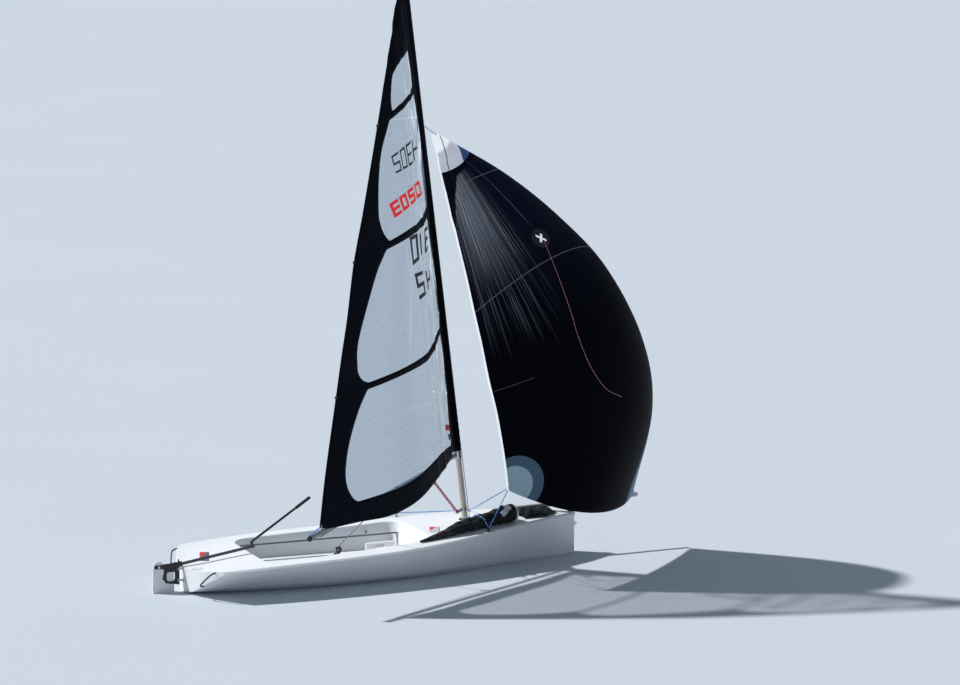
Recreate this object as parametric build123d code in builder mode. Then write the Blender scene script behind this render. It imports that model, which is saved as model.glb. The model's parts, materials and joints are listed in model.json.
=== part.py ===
from build123d import *
import math
import os

# Sailing dinghy with a turning mast, a loose-footed mainsail and a free-flying kite on a bow pole.
# Frame: +X to the bow, +Y to port, +Z up. Origin on the centreline at the waterline, amidships. Millimetres.

os.makedirs("parts", exist_ok=True)

# Clearances
SEAT = 0.3
PIN_PLAY = 0.1
RUNNING = 3.0

# Hull sizes
STERN_X = -1930
BOW_X = 1930
QUARTER_X = -1750
QUARTER_HALF = 630
RIM_DEPTH = 36
RIM_OUT = 20
RIM_ROUND = 12
# station: x, half breadth at the rim, sheer height, deck crown, half breadth and height of the bilge, keel height
STATIONS = (
    (-1960, 596, 277, -55, 300, 78, 2),
    (-1450, 672, 293, -25, 385, 72, -45),
    (-800, 702, 311, 8, 455, 58, -88),
    (-100, 684, 327, 22, 470, 50, -110),
    (500, 602, 357, 30, 405, 55, -115),
    (1050, 447, 391, 30, 270, 62, -104),
    (1550, 240, 402, 22, 125, 58, -84),
    (BOW_X, 44, 382, 6, 22, 10, -52),
)

# Cockpit sizes
SOLE_Z = 120
COCKPIT_AFT_X = -1235
COCKPIT_FORE_X = 250
COCKPIT_AFT_HALF = 500
COCKPIT_FORE_HALF = 400
COCKPIT_CORNER = 90
COCKPIT_TAPER = 14
COAMING_ROUND = 14
HUMP_AFT_X = -500
HUMP_HALF = 75
HUMP_Z = 178

# Daggerboard sizes
BOARD_X = -20
BOARD_CHORD = 270
BOARD_THICK = 24
BOARD_BOTTOM_Z = -760
BOARD_CAP_Z = 268
BOARD_CAP_GROW = 14
BOARD_PLAY = 2.0

# Mast, boom and sail sizes
MAST_X = 825
MAST_DECK_Z = 400
RAKE = math.atan(0.111)
SWEEP = math.radians(35)
MAST_R = 30
TOPMAST_R = 25
TOPMAST_TIP_R = 17
TUBE_WALL = 2.5
STEP_DEPTH = 290
GOOSENECK_H = 660
SLEEVE_FOOT_H = 12
MASTHEAD_H = 4440
COLLAR_R = 58
COLLAR_UP = 16
COLLAR_DOWN = 14
BOOM_R = 22
BOOM_START = (64, -31)
BOOM_END = (2440, -145)
SLEEVE_R = 36.5
SLEEVE_TIP_R = 24
SAIL_THICK = 4.0
TWIST = math.radians(9)
CAMBER = 0.075
LUFF_FOOT_X = 35.8
LUFF_HEAD_X = 23.2
LEECH_FOOT = (2290, -95)
LEECH_MID = (1165, 2485)
LEECH_TOP = (195, MASTHEAD_H - 220)
LEECH_HEAD = (60, MASTHEAD_H - 15)
FOOT_FORE = (650, -132)
FOOT_LOW = (1300, -218)
SHEET_HEIGHTS = (-420, 500, 1500, 2500, 3500, 4560)
# window: luff edge x, its low and high ends, then middle and far end of the top edge, middle of the leech edge,
# far end and middle of the bottom edge, all in the sail's own plane
WINDOWS = (
    (138, 3425, 3745, (300, 3690), (430, 3580), (510, 3440), (556, 3285), (330, 3320)),
    (124, 2297, 3352, (350, 3270), (625, 3200), (885, 2790), (960, 2180), (520, 2208)),
    (126, 1188, 2230, (500, 2150), (965, 2105), (1400, 1600), (1560, 1012), (800, 1024)),
    (140, 95, 1185, (600, 992), (1500, 960), (1838, 510), (1885, 12), (1000, 2)),
)
WINDOW_CORNER = 38
CUT = 800

# Kite sizes: leech point, luff point, depth of the belly and its direction, from the head to the foot
KITE_THICK = 4.0
KITE_SECTIONS = (
    ((508, -45, 3985), (590, -45, 3968), 8, (-0.10, -1.0, 0.30)),
    ((552, -180, 3600), (1180, -150, 3632), 105, (-0.15, -1.0, 0.35)),
    ((606, -400, 3022), (1690, -240, 3210), 230, (-0.15, -1.0, 0.25)),
    ((670, -600, 2424), (2140, -290, 2720), 340, (-0.20, -1.0, 0.15)),
    ((725, -770, 1870), (2500, -300, 2050), 410, (-0.20, -1.0, 0.05)),
    ((780, -910, 1380), (2650, -220, 1380), 420, (-0.10, -1.0, -0.10)),
    ((809, -1020, 874), (2565, 0, 545), 330, (0.0, -0.89, -0.46)),
)

# Bow pole sizes
POLE_R = 22
POLE_HEEL = (1180, 0, 462)
POLE_END = (2580, 0, 492)
STEM_RING_X = 1885
BRACKET_SINK = 40
STROP_DROP = 0.9
STROP_LEN = 30.1

# Bow eye sizes
BOW_EYE_Z = 270
BOW_EYE_R = 8
BOW_EYE_T = 10

# Sock sizes: centre and radius along the starboard foredeck, from the mouth aft
SOCK_WALL = 4
SOCK_RINGS = (
    (1190, -262, 492.5, 78),
    (1010, -300, 476, 68),
    (760, -372, 441.5, 50),
    (300, -492, 381.5, 24),
)
HOOP_TUBE = 8

# Rudder sizes
RUDDER_AXIS_X = -1965
POST_R = 7
CHEEK_T = 4
BLADE_T = 18
BLADE_PLAY = 1.5
BLADE_BOLT = (-2154, 236)
BOLT_R = 5
BLADE_HEAD_R = 50
GUDGEON_ZS = (100, 205)
GUDGEON_H = 16
GUDGEON_R = 13
TILLER_R = 14
TILLER_BACK = (-2052, 231)
TILLER_TIP = (-1245, 346)
EXTENSION_LEN = 850
EXTENSION_R = 11
GRIP_R = 14.5
GRIP_LEN = 200
EXTENSION_YAW = math.radians(30)
EXTENSION_RISE = math.radians(18)

# Block sizes: cheeks round a grooved sheave
BLOCK_GROOVE = 0.62
BLOCK_TAIL = 1.35
SMALL_BLOCK_W = 16

# Mainsheet and vang sizes; the vang's blocks are placed in the sail's own plane
SHEET_BASE_X = -430
SHEET_BASE = (112, 60, 8)
SHEET_POST_R = 9
RATCHET_Z = 238
RATCHET_R = 28
RATCHET_W = 24
BOOM_BLOCK_X = 1060
BOOM_BLOCK_DROP = 54
BOOM_BLOCK_R = 20
BOOM_BLOCK_TAIL = 8
VANG_STRAP_X = 524
VANG_UPPER = (428, -190)
VANG_LOWER = (116, -552)
VANG_BLOCK_R = 15
VANG_STROP_R = 3
STRAP_BAND = 2.4
STRAP_WIDE = 18
TANG_BAND = 5
TANG_HIGH = 30
TANG_EAR = 10

# Fittings on deck and in the cockpit
KITE_BLOCKS = (("port", 380, 600), ("starboard", 855, -480))
KITE_BLOCK_R = 17
KITE_BLOCK_UP = 38
KITE_POST_R = 7
TOE_STRAP_AFT = (-1300, 430, 258)
TOE_STRAP_FORE = (330, 340, 263)
TOE_STRAP = (50, 4)
TOE_STRAP_PAD = (66, 20, 42)
HANDLE_R = 7
HANDLE_TOP = (-1800, 541, 262)
HANDLE_LOW = (-1867, 385, 116)
HANDLE_OUT = 50
HANDLE_BEND = 48
HANDLE_SINK = 20

# Directions of the rig
mast_dir = Vector(-math.sin(RAKE), 0, math.cos(RAKE))
aft_dir = Vector(-math.cos(RAKE), 0, -math.sin(RAKE))
starboard = Vector(0, -1, 0)
chord_dir = aft_dir * math.cos(SWEEP) + starboard * math.sin(SWEEP)
leeward = starboard * math.cos(SWEEP) - aft_dir * math.sin(SWEEP)
mast_foot = Vector(MAST_X, 0, MAST_DECK_Z)
gooseneck_point = mast_foot + mast_dir * GOOSENECK_H
sail_plane = Plane(origin=gooseneck_point, x_dir=chord_dir, z_dir=leeward * -1)


def mast_plane(height):
    return Plane(origin=mast_foot + mast_dir * height, x_dir=chord_dir, z_dir=mast_dir)


def rig_point(x, height, out=0):
    return gooseneck_point + chord_dir * x + mast_dir * height + leeward * out


def deck_z(x, y):
    """Height of the crowned deck between the two stations beside x."""
    for low, high in zip(STATIONS, STATIONS[1:]):
        if low[0] <= x <= high[0]:
            share = (x - low[0]) / (high[0] - low[0])
            half, sheer, crown = (low[k] + share * (high[k] - low[k]) for k in (1, 2, 3))
            return sheer + crown * (1 - (y / half) ** 2)
    return STATIONS[-1][2]


# Hull: stations lofted bow to stern, the stern cut to a round plan
stern_radius = (QUARTER_HALF ** 2 + (QUARTER_X - STERN_X) ** 2) / (2 * (QUARTER_X - STERN_X))
with BuildPart() as hull:
    for x, half, sheer, crown, bilge_half, bilge, keel in STATIONS:
        with BuildSketch(Plane.YZ.offset(x)):
            with BuildLine():
                ThreePointArc((-bilge_half, bilge), (0, keel), (bilge_half, bilge))
                for side in (1, -1):
                    Polyline(
                        (side * bilge_half, bilge),
                        (side * (half - RIM_OUT), sheer - RIM_DEPTH),
                        (side * half, sheer - RIM_DEPTH + RIM_ROUND),
                        (side * half, sheer - RIM_ROUND),
                        (side * (half - RIM_ROUND), sheer),
                    )
                ThreePointArc((half - RIM_ROUND, sheer), (0, sheer + crown), (RIM_ROUND - half, sheer))
            make_face()
    loft()
    with BuildSketch(Plane.XY.offset(-300)):
        with Locations((STERN_X + stern_radius, 0)):
            Circle(stern_radius)
        with Locations(((STERN_X + stern_radius + BOW_X) / 2, 0)):
            Rectangle(BOW_X - STERN_X - stern_radius, 2 * stern_radius)
    extrude(amount=1000, mode=Mode.INTERSECT)
    with BuildSketch(Plane.XY.offset(SOLE_Z)):
        with BuildLine():
            Polyline(
                (COCKPIT_AFT_X, -COCKPIT_AFT_HALF),
                (COCKPIT_FORE_X, -COCKPIT_FORE_HALF),
                (COCKPIT_FORE_X, COCKPIT_FORE_HALF),
                (COCKPIT_AFT_X, COCKPIT_AFT_HALF),
                close=True,
            )
        well = make_face()
        fillet(well.vertices(), COCKPIT_CORNER)
    extrude(amount=400, taper=-COCKPIT_TAPER, mode=Mode.SUBTRACT)
    fillet([edge for edge in hull.edges(Select.LAST) if edge.center().Z > 2 * SOLE_Z], COAMING_ROUND)
    with BuildSketch(Plane.XY.offset(SOLE_Z)):
        with Locations(((HUMP_AFT_X + COCKPIT_FORE_X) / 2, 0)):
            Rectangle(COCKPIT_FORE_X - HUMP_AFT_X + 20, 2 * HUMP_HALF)
    extrude(amount=HUMP_Z - SOLE_Z, taper=8)
    with BuildSketch(Plane.XY.offset(-300)):
        with Locations((BOARD_X, 0)):
            SlotOverall(BOARD_CHORD + 2 * BOARD_PLAY, BOARD_THICK + 2 * BOARD_PLAY)
    extrude(amount=1000, mode=Mode.SUBTRACT)
    with BuildSketch(mast_plane(-STEP_DEPTH)):
        Circle(MAST_R + SEAT)
    extrude(amount=STEP_DEPTH + 200, mode=Mode.SUBTRACT)
    with BuildSketch(mast_plane(-COLLAR_DOWN)):
        Circle(COLLAR_R + SEAT)
    extrude(amount=200, mode=Mode.SUBTRACT)
hull.part.label = "hull"
export_step(hull.part, "parts/hull.step")

with BuildPart() as mast_collar:
    with BuildSketch(mast_plane(-COLLAR_DOWN)):
        Circle(COLLAR_R)
        Circle(MAST_R + SEAT, mode=Mode.SUBTRACT)
    extrude(amount=COLLAR_DOWN + COLLAR_UP)
    fillet(mast_collar.edges().filter_by(GeomType.CIRCLE).sort_by(Axis.Z)[-1], 4)
mast_collar.part.label = "mast_collar"
export_step(mast_collar.part, "parts/mast_collar.step")

# Daggerboard: a flat board with round edges and a cap that stops it on the case
with BuildPart() as daggerboard:
    with BuildSketch(Plane.XY.offset(HUMP_Z + SEAT)):
        with Locations((BOARD_X, 0)):
            SlotOverall(BOARD_CHORD, BOARD_THICK)
    extrude(amount=BOARD_BOTTOM_Z - HUMP_Z - SEAT)
    chamfer(daggerboard.faces().sort_by(Axis.Z)[0].edges(), 6)
daggerboard.part.label = "daggerboard"
export_step(daggerboard.part, "parts/daggerboard.step")

with BuildPart() as board_cap:
    with BuildSketch(Plane.XY.offset(HUMP_Z + SEAT)):
        with Locations((BOARD_X, 0)):
            SlotOverall(BOARD_CHORD + 2 * BOARD_CAP_GROW, BOARD_THICK + 2 * BOARD_CAP_GROW)
    extrude(amount=BOARD_CAP_Z - HUMP_Z - SEAT)
    with BuildSketch(Plane.XZ.offset(-60)):
        with Locations((BOARD_X, (BOARD_CAP_Z + HUMP_Z) / 2 + 12)):
            SlotOverall(120, 42)
    extrude(amount=120, mode=Mode.SUBTRACT)
board_cap.part.label = "board_cap"
export_step(board_cap.part, "parts/board_cap.step")


# Mast: two tubes in line, the upper one inside the sail's sleeve
def mast_tube(low, high, radius, tip_radius):
    with BuildPart() as tube:
        with BuildSketch(mast_plane(low)):
            Circle(radius)
        with BuildSketch(mast_plane(high)):
            Circle(tip_radius)
        loft()
        with BuildSketch(mast_plane(low)):
            Circle(radius - TUBE_WALL)
        with BuildSketch(mast_plane(high)):
            Circle(tip_radius - TUBE_WALL)
        loft(mode=Mode.SUBTRACT)
    return tube


mast_joint_h = GOOSENECK_H + SLEEVE_FOOT_H + 60
mast_lower = mast_tube(SEAT - STEP_DEPTH, mast_joint_h, MAST_R, MAST_R)
mast_lower.part.label = "mast_lower"
export_step(mast_lower.part, "parts/mast_lower.step")

mast_upper = mast_tube(mast_joint_h, GOOSENECK_H + MASTHEAD_H, TOPMAST_R, TOPMAST_TIP_R)
mast_upper.part.label = "mast_upper"
export_step(mast_upper.part, "parts/mast_upper.step")

with BuildPart() as mast_cap:
    with BuildSketch(mast_plane(GOOSENECK_H + MASTHEAD_H)):
        Circle(SLEEVE_TIP_R)
    extrude(amount=30)
    fillet(mast_cap.edges().filter_by(GeomType.CIRCLE).sort_by(Axis.Z)[-1], 6)
    with BuildSketch(mast_plane(GOOSENECK_H + MASTHEAD_H + 30)):
        Circle(4)
    extrude(amount=-24, mode=Mode.SUBTRACT)
mast_cap.part.label = "mast_cap"
export_step(mast_cap.part, "parts/mast_cap.step")

# Sleeve of the sail round the upper mast
with BuildPart() as sail_sleeve:
    with BuildSketch(mast_plane(GOOSENECK_H + SLEEVE_FOOT_H)):
        Circle(SLEEVE_R)
    with BuildSketch(mast_plane(GOOSENECK_H + MASTHEAD_H - SEAT)):
        Circle(SLEEVE_TIP_R)
    loft()
    with BuildSketch(mast_plane(GOOSENECK_H + SLEEVE_FOOT_H)):
        Circle(MAST_R + SEAT)
    extrude(amount=mast_joint_h - GOOSENECK_H - SLEEVE_FOOT_H + SEAT, mode=Mode.SUBTRACT)
    with BuildSketch(mast_plane(mast_joint_h)):
        Circle(TOPMAST_R + SEAT)
    with BuildSketch(mast_plane(GOOSENECK_H + MASTHEAD_H)):
        Circle(TOPMAST_TIP_R + SEAT)
    loft(mode=Mode.SUBTRACT)
sail_sleeve.part.label = "sail_sleeve"
export_step(sail_sleeve.part, "parts/sail_sleeve.step")


# Mainsail: a cambered and twisted sheet, trimmed to its outline seen square to the sail's plane
def chord_at(height):
    share = (height - LEECH_FOOT[1]) / (LEECH_HEAD[1] - LEECH_FOOT[1])
    return max(120, LEECH_FOOT[0] * (1 - share) + 150 * math.sin(math.pi * min(max(share, 0), 1)))


def sail_offset(x, height):
    chord = chord_at(height)
    share = min(max((height - LEECH_FOOT[1]) / (LEECH_HEAD[1] - LEECH_FOOT[1]), 0), 1)
    return math.tan(TWIST) * share * x + 4 * CAMBER * x * (chord - x) / chord


def sail_sheet(thick):
    with BuildPart() as sheet:
        for height in SHEET_HEIGHTS:
            reach = chord_at(height) + 130
            plane = Plane(origin=rig_point(0, height), x_dir=chord_dir, z_dir=mast_dir)
            outer, inner = (
                [(x, sail_offset(x, height) + side * thick / 2) for x in (20, reach / 2, reach)]
                for side in (1, -1)
            )
            with BuildSketch(plane):
                with BuildLine():
                    ThreePointArc(*outer)
                    Line(outer[2], inner[2])
                    ThreePointArc(*inner)
                    Line(inner[0], outer[0])
                make_face()
        loft()
    return sheet


def window_sketch(row):
    """A window's outline on a plane to windward of the whole sail."""
    luff_x, low, high, top_mid, top_far, leech_mid, foot_far, foot_mid = row
    with BuildSketch(sail_plane.offset(-CUT)) as sketch:
        with BuildLine():
            Line((luff_x, low), (luff_x, high))
            ThreePointArc((luff_x, high), top_mid, top_far)
            ThreePointArc(top_far, leech_mid, foot_far)
            ThreePointArc(foot_far, foot_mid, (luff_x, low))
        window = make_face()
        fillet(window.vertices(), WINDOW_CORNER)
    return sketch.sketch


sheet = sail_sheet(SAIL_THICK)
with BuildPart() as sail_cloth:
    add(sheet.part)
    with BuildSketch(sail_plane.offset(-CUT)):
        with BuildLine():
            foot = ThreePointArc((LUFF_FOOT_X, 8), FOOT_FORE, FOOT_LOW)
            TangentArc(FOOT_LOW, LEECH_FOOT, tangent=foot % 1)
            ThreePointArc(LEECH_FOOT, LEECH_MID, LEECH_TOP)
            Polyline(LEECH_TOP, LEECH_HEAD, (LUFF_HEAD_X, LEECH_HEAD[1]), (LUFF_FOOT_X, 8))
        make_face()
    extrude(amount=2 * CUT, mode=Mode.INTERSECT)
    for row in WINDOWS:
        extrude(window_sketch(row), amount=2 * CUT, mode=Mode.SUBTRACT)
sail_cloth.part.label = "sail_cloth"
export_step(sail_cloth.part, "parts/sail_cloth.step")


def film_pane(row):
    with BuildPart() as pane:
        add(sheet.part)
        extrude(window_sketch(row), amount=2 * CUT, mode=Mode.INTERSECT)
    return pane


panes = [film_pane(row) for row in WINDOWS]
with BuildPart() as sail_windows:
    for pane in panes:
        add(pane.part)
sail_windows.part.label = "sail_windows"
export_step(sail_windows.part, "parts/sail_windows.step")

# Boom with its end caps, and the gooseneck that holds it
boom_root = rig_point(*BOOM_START)
boom_tip = rig_point(*BOOM_END)
boom_dir = (boom_tip - boom_root).normalized()
boom_plane = Plane(origin=boom_root, x_dir=leeward, z_dir=boom_dir)
boom_len = (boom_tip - boom_root).length
with BuildPart() as boom:
    with BuildSketch(boom_plane):
        Circle(BOOM_R)
        Circle(BOOM_R - TUBE_WALL, mode=Mode.SUBTRACT)
    extrude(amount=boom_len)
boom.part.label = "boom"
export_step(boom.part, "parts/boom.step")

with BuildPart() as boom_end_cap:
    with BuildSketch(boom_plane.offset(boom_len)):
        Circle(BOOM_R + 2)
    extrude(amount=22)
    fillet(boom_end_cap.edges().filter_by(GeomType.CIRCLE).group_by(Axis.X)[0], 5)
    with BuildSketch(boom_plane.offset(boom_len)):
        Circle(BOOM_R - TUBE_WALL - SEAT)
    extrude(amount=-40)
boom_end_cap.part.label = "boom_end_cap"
export_step(boom_end_cap.part, "parts/boom_end_cap.step")

with BuildPart() as gooseneck:
    with BuildSketch(mast_plane(GOOSENECK_H - 66)):
        Circle(MAST_R + 7)
        Circle(MAST_R + SEAT, mode=Mode.SUBTRACT)
    extrude(amount=70)
    with BuildSketch(mast_plane(GOOSENECK_H - 52)):
        with Locations((BOOM_START[0] / 2 + MAST_R / 2, 0)):
            Rectangle(BOOM_START[0] - MAST_R - 4, 22)
    extrude(amount=42)
    with BuildSketch(boom_plane.offset(-8)):
        Circle(BOOM_R - TUBE_WALL - SEAT)
    extrude(amount=68)
    with BuildSketch(mast_plane(GOOSENECK_H - 70)):
        Circle(MAST_R + SEAT)
    extrude(amount=80, mode=Mode.SUBTRACT)
gooseneck.part.label = "gooseneck"
export_step(gooseneck.part, "parts/gooseneck.step")

# Bow pole on its heel bracket and through its ring on the stem
pole_root = Vector(*POLE_HEEL)
pole_tip = Vector(*POLE_END)
pole_plane = Plane(origin=pole_root, x_dir=(0, 1, 0), z_dir=(pole_tip - pole_root).normalized())
with BuildPart() as bow_pole:
    with BuildSketch(pole_plane):
        Circle(POLE_R)
        Circle(POLE_R - TUBE_WALL, mode=Mode.SUBTRACT)
    extrude(amount=(pole_tip - pole_root).length)
bow_pole.part.label = "bow_pole"
export_step(bow_pole.part, "parts/bow_pole.step")

with BuildPart() as pole_end_cap:
    with BuildSketch(pole_plane.offset((pole_tip - pole_root).length)):
        Circle(POLE_R + 1)
    extrude(amount=18)
    fillet(pole_end_cap.edges().filter_by(GeomType.CIRCLE).sort_by(Axis.X)[-1], 6)
    with BuildSketch(pole_plane.offset((pole_tip - pole_root).length)):
        Circle(POLE_R - TUBE_WALL - SEAT)
    extrude(amount=-30)
pole_end_cap.part.label = "pole_end_cap"
export_step(pole_end_cap.part, "parts/pole_end_cap.step")


def pole_bracket(x, length, width):
    """Saddle from the deck up round the pole."""
    along = x - POLE_HEEL[0]
    axis_z = POLE_HEEL[2] + along * (POLE_END[2] - POLE_HEEL[2]) / (POLE_END[0] - POLE_HEEL[0])
    foot = deck_z(x, 0) - BRACKET_SINK
    with BuildPart() as bracket:
        with BuildSketch(Plane.YZ.offset(x - length / 2)):
            with Locations((0, axis_z)):
                Circle(POLE_R + 7)
            with Locations((0, (foot + axis_z) / 2)):
                Rectangle(width, axis_z - foot)
        extrude(amount=length)
        with BuildSketch(pole_plane.offset(along - length)):
            Circle(POLE_R + SEAT)
        extrude(amount=2 * length, mode=Mode.SUBTRACT)
        add(hull.part, mode=Mode.SUBTRACT)
    return bracket


stem_ring = pole_bracket(STEM_RING_X, 34, 48)
stem_ring.part.label = "stem_ring"
export_step(stem_ring.part, "parts/stem_ring.step")

pole_heel = pole_bracket(POLE_HEEL[0] + 30, 50, 60)
pole_heel.part.label = "pole_heel"
export_step(pole_heel.part, "parts/pole_heel.step")

# Kite: a thin belly lofted from its head to its foot
with BuildPart() as kite:
    for leech, luff, depth, belly in KITE_SECTIONS:
        start = Vector(*leech)
        span = Vector(*luff) - start
        across = span.normalized()
        plane = Plane(origin=start, x_dir=across, z_dir=across.cross(Vector(*belly)))
        with BuildSketch(plane):
            with BuildLine():
                ThreePointArc((0, 0), (span.length / 2, depth), (span.length, 0))
                Line((span.length, 0), (span.length, -KITE_THICK))
                ThreePointArc((span.length, -KITE_THICK), (span.length / 2, depth - KITE_THICK), (0, -KITE_THICK))
                Line((0, -KITE_THICK), (0, 0))
            make_face()
    loft()
kite.part.label = "kite"
export_step(kite.part, "parts/kite.step")

# Sock that the kite drops into, and its hoop on the foredeck
sock_dirs = []
for k, ring in enumerate(SOCK_RINGS):
    near = SOCK_RINGS[max(k - 1, 0)]
    far = SOCK_RINGS[min(k + 1, len(SOCK_RINGS) - 1)]
    sock_dirs.append(Vector(*near[:3]) - Vector(*far[:3]))
with BuildPart() as sock:
    for wall, mode in ((0, Mode.ADD), (SOCK_WALL, Mode.SUBTRACT)):
        for (x, y, z, radius), way in zip(SOCK_RINGS, sock_dirs):
            with BuildSketch(Plane(origin=(x, y, z), x_dir=(0, 1, 0), z_dir=way)):
                Circle(radius - wall)
        loft(mode=mode)
    with BuildSketch(Plane(origin=SOCK_RINGS[-1][:3], x_dir=(0, 1, 0), z_dir=sock_dirs[-1])):
        Circle(SOCK_RINGS[-1][3] - SEAT)
    extrude(amount=60)
sock.part.label = "sock"
export_step(sock.part, "parts/sock.step")

mouth = Plane(origin=SOCK_RINGS[0][:3], x_dir=(0, 1, 0), z_dir=sock_dirs[0])
with BuildPart() as sock_hoop:
    with BuildSketch(mouth.offset(SEAT)):
        Circle(SOCK_RINGS[0][3] + 2)
        Circle(SOCK_RINGS[0][3] - HOOP_TUBE, mode=Mode.SUBTRACT)
    extrude(amount=2 * HOOP_TUBE)
sock_hoop.part.label = "sock_hoop"
export_step(sock_hoop.part, "parts/sock_hoop.step")

# Rudder gudgeons on the stern
with BuildPart() as gudgeons:
    for z in GUDGEON_ZS:
        with BuildSketch(Plane.XY.offset(z - GUDGEON_H / 2)):
            with Locations((RUDDER_AXIS_X, 0)):
                Circle(GUDGEON_R)
            with Locations(((RUDDER_AXIS_X + STERN_X) / 2, 0)):
                Rectangle(STERN_X - RUDDER_AXIS_X - 2 * SEAT, 16)
            with Locations((STERN_X - 2.5 - SEAT, 0)):
                Rectangle(4, 70)
            with Locations((RUDDER_AXIS_X, 0)):
                Circle(POST_R + PIN_PLAY, mode=Mode.SUBTRACT)
        extrude(amount=GUDGEON_H)
gudgeons.part.label = "gudgeons"
export_step(gudgeons.part, "parts/gudgeons.step")

# Rudder stock: two cheeks with a window, a post in the gudgeons and a socket for the tiller
cheek_out = BLADE_T / 2 + BLADE_PLAY + CHEEK_T
tiller_dir = (Vector(TILLER_TIP[0], 0, TILLER_TIP[1]) - Vector(TILLER_BACK[0], 0, TILLER_BACK[1])).normalized()
tiller_plane = Plane(origin=(TILLER_BACK[0], 0, TILLER_BACK[1]), x_dir=(0, 1, 0), z_dir=tiller_dir)
tiller_len = math.hypot(TILLER_TIP[0] - TILLER_BACK[0], TILLER_TIP[1] - TILLER_BACK[1])
cheek_fore = RUDDER_AXIS_X - GUDGEON_R - RUNNING
with BuildPart() as rudder_stock:
    with BuildSketch(Plane.XZ.offset(-cheek_out)):
        with BuildLine():
            Polyline(
                (-2192, 222),
                (-2192, 252),
                (-2050, 256),
                (cheek_fore, 266),
                (cheek_fore, 66),
                (-2088, 84),
                (-2120, 128),
                (-2104, 196),
                (-2116, 218),
                close=True,
            )
        make_face()
        with Locations((-2040, 142)):
            RectangleRounded(86, 84, 22, mode=Mode.SUBTRACT)
    extrude(amount=2 * cheek_out)
    with BuildSketch(Plane.XZ.offset(-BLADE_T / 2 - BLADE_PLAY)):
        with Locations((-2110, 160)):
            Rectangle(2 * (2110 + cheek_fore) - 16, 400)
    extrude(amount=BLADE_T + 2 * BLADE_PLAY, mode=Mode.SUBTRACT)
    with BuildSketch(Plane.XY.offset(60)):
        with Locations((RUDDER_AXIS_X, 0)):
            Circle(POST_R)
    extrude(amount=230)
    for low, high in ((66, GUDGEON_ZS[0] - 14), (GUDGEON_ZS[0] + 14, GUDGEON_ZS[1] - 14)):
        with BuildSketch(Plane.XY.offset(low)):
            with Locations(((RUDDER_AXIS_X + cheek_fore) / 2, 0)):
                Rectangle(RUDDER_AXIS_X - cheek_fore + 10, 2 * POST_R - 2)
        extrude(amount=high - low)
    with BuildSketch(tiller_plane):
        Rectangle(2 * cheek_out, 44)
    extrude(amount=120)
    with BuildSketch(Plane.XY.offset(GUDGEON_ZS[1] - 60)):
        with Locations((RUDDER_AXIS_X, 0)):
            Rectangle(2 * (GUDGEON_R + RUNNING), 80)
    extrude(amount=60 + GUDGEON_H / 2 + RUNNING, mode=Mode.SUBTRACT)
    with BuildSketch(Plane.XY.offset(60)):
        with Locations((RUDDER_AXIS_X, 0)):
            Circle(POST_R)
    extrude(amount=230)
    with BuildSketch(Plane.XY.offset(GUDGEON_ZS[0] + 14)):
        with Locations(((RUDDER_AXIS_X + cheek_fore) / 2, 0)):
            Rectangle(RUDDER_AXIS_X - cheek_fore + 10, 2 * POST_R - 2)
    extrude(amount=GUDGEON_ZS[1] - GUDGEON_ZS[0] - 28)
    with BuildSketch(tiller_plane):
        Circle(TILLER_R + SEAT)
    extrude(amount=160, mode=Mode.SUBTRACT)
    with BuildSketch(Plane.XZ.offset(-60)):
        with Locations(BLADE_BOLT):
            Circle(BOLT_R + PIN_PLAY)
    extrude(amount=120, mode=Mode.SUBTRACT)
rudder_stock.part.label = "rudder_stock"
export_step(rudder_stock.part, "parts/rudder_stock.step")

with BuildPart() as tiller:
    with BuildSketch(tiller_plane):
        Circle(TILLER_R)
    extrude(amount=tiller_len)
    with BuildSketch(Plane.XY.offset(TILLER_TIP[1] - 10)):
        with Locations((TILLER_TIP[0] - 24, 0)):
            Circle(5)
    extrude(amount=39)
tiller.part.label = "tiller"
export_step(tiller.part, "parts/tiller.step")

# Rudder blade on its bolt
with BuildPart() as rudder_blade:
    with BuildSketch(Plane.XZ.offset(-BLADE_T / 2)):
        with Locations(BLADE_BOLT):
            Circle(BLADE_HEAD_R)
        with BuildLine():
            Polyline(
                (BLADE_BOLT[0] - BLADE_HEAD_R, BLADE_BOLT[1]),
                (-2212, 60),
                (-2200, -480),
                (-2120, -600),
                (-2030, -590),
                (-2010, -300),
                (-2014, 178),
                (-2060, 198),
                (BLADE_BOLT[0] + 38, BLADE_BOLT[1] + 28),
                close=True,
            )
        make_face()
        with Locations(BLADE_BOLT):
            Circle(BOLT_R + PIN_PLAY, mode=Mode.SUBTRACT)
    extrude(amount=BLADE_T)
rudder_blade.part.label = "rudder_blade"
export_step(rudder_blade.part, "parts/rudder_blade.step")

with BuildPart() as blade_bolt:
    with BuildSketch(Plane.XZ.offset(-cheek_out - 5)):
        with Locations(BLADE_BOLT):
            Circle(BOLT_R)
    extrude(amount=2 * cheek_out + 10)
    for side in (-1, 1):
        with BuildSketch(Plane.XZ.offset(side * (cheek_out + SEAT))):
            with Locations(BLADE_BOLT):
                Circle(11)
        extrude(amount=side * 5)
blade_bolt.part.label = "blade_bolt"
export_step(blade_bolt.part, "parts/blade_bolt.step")

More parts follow.
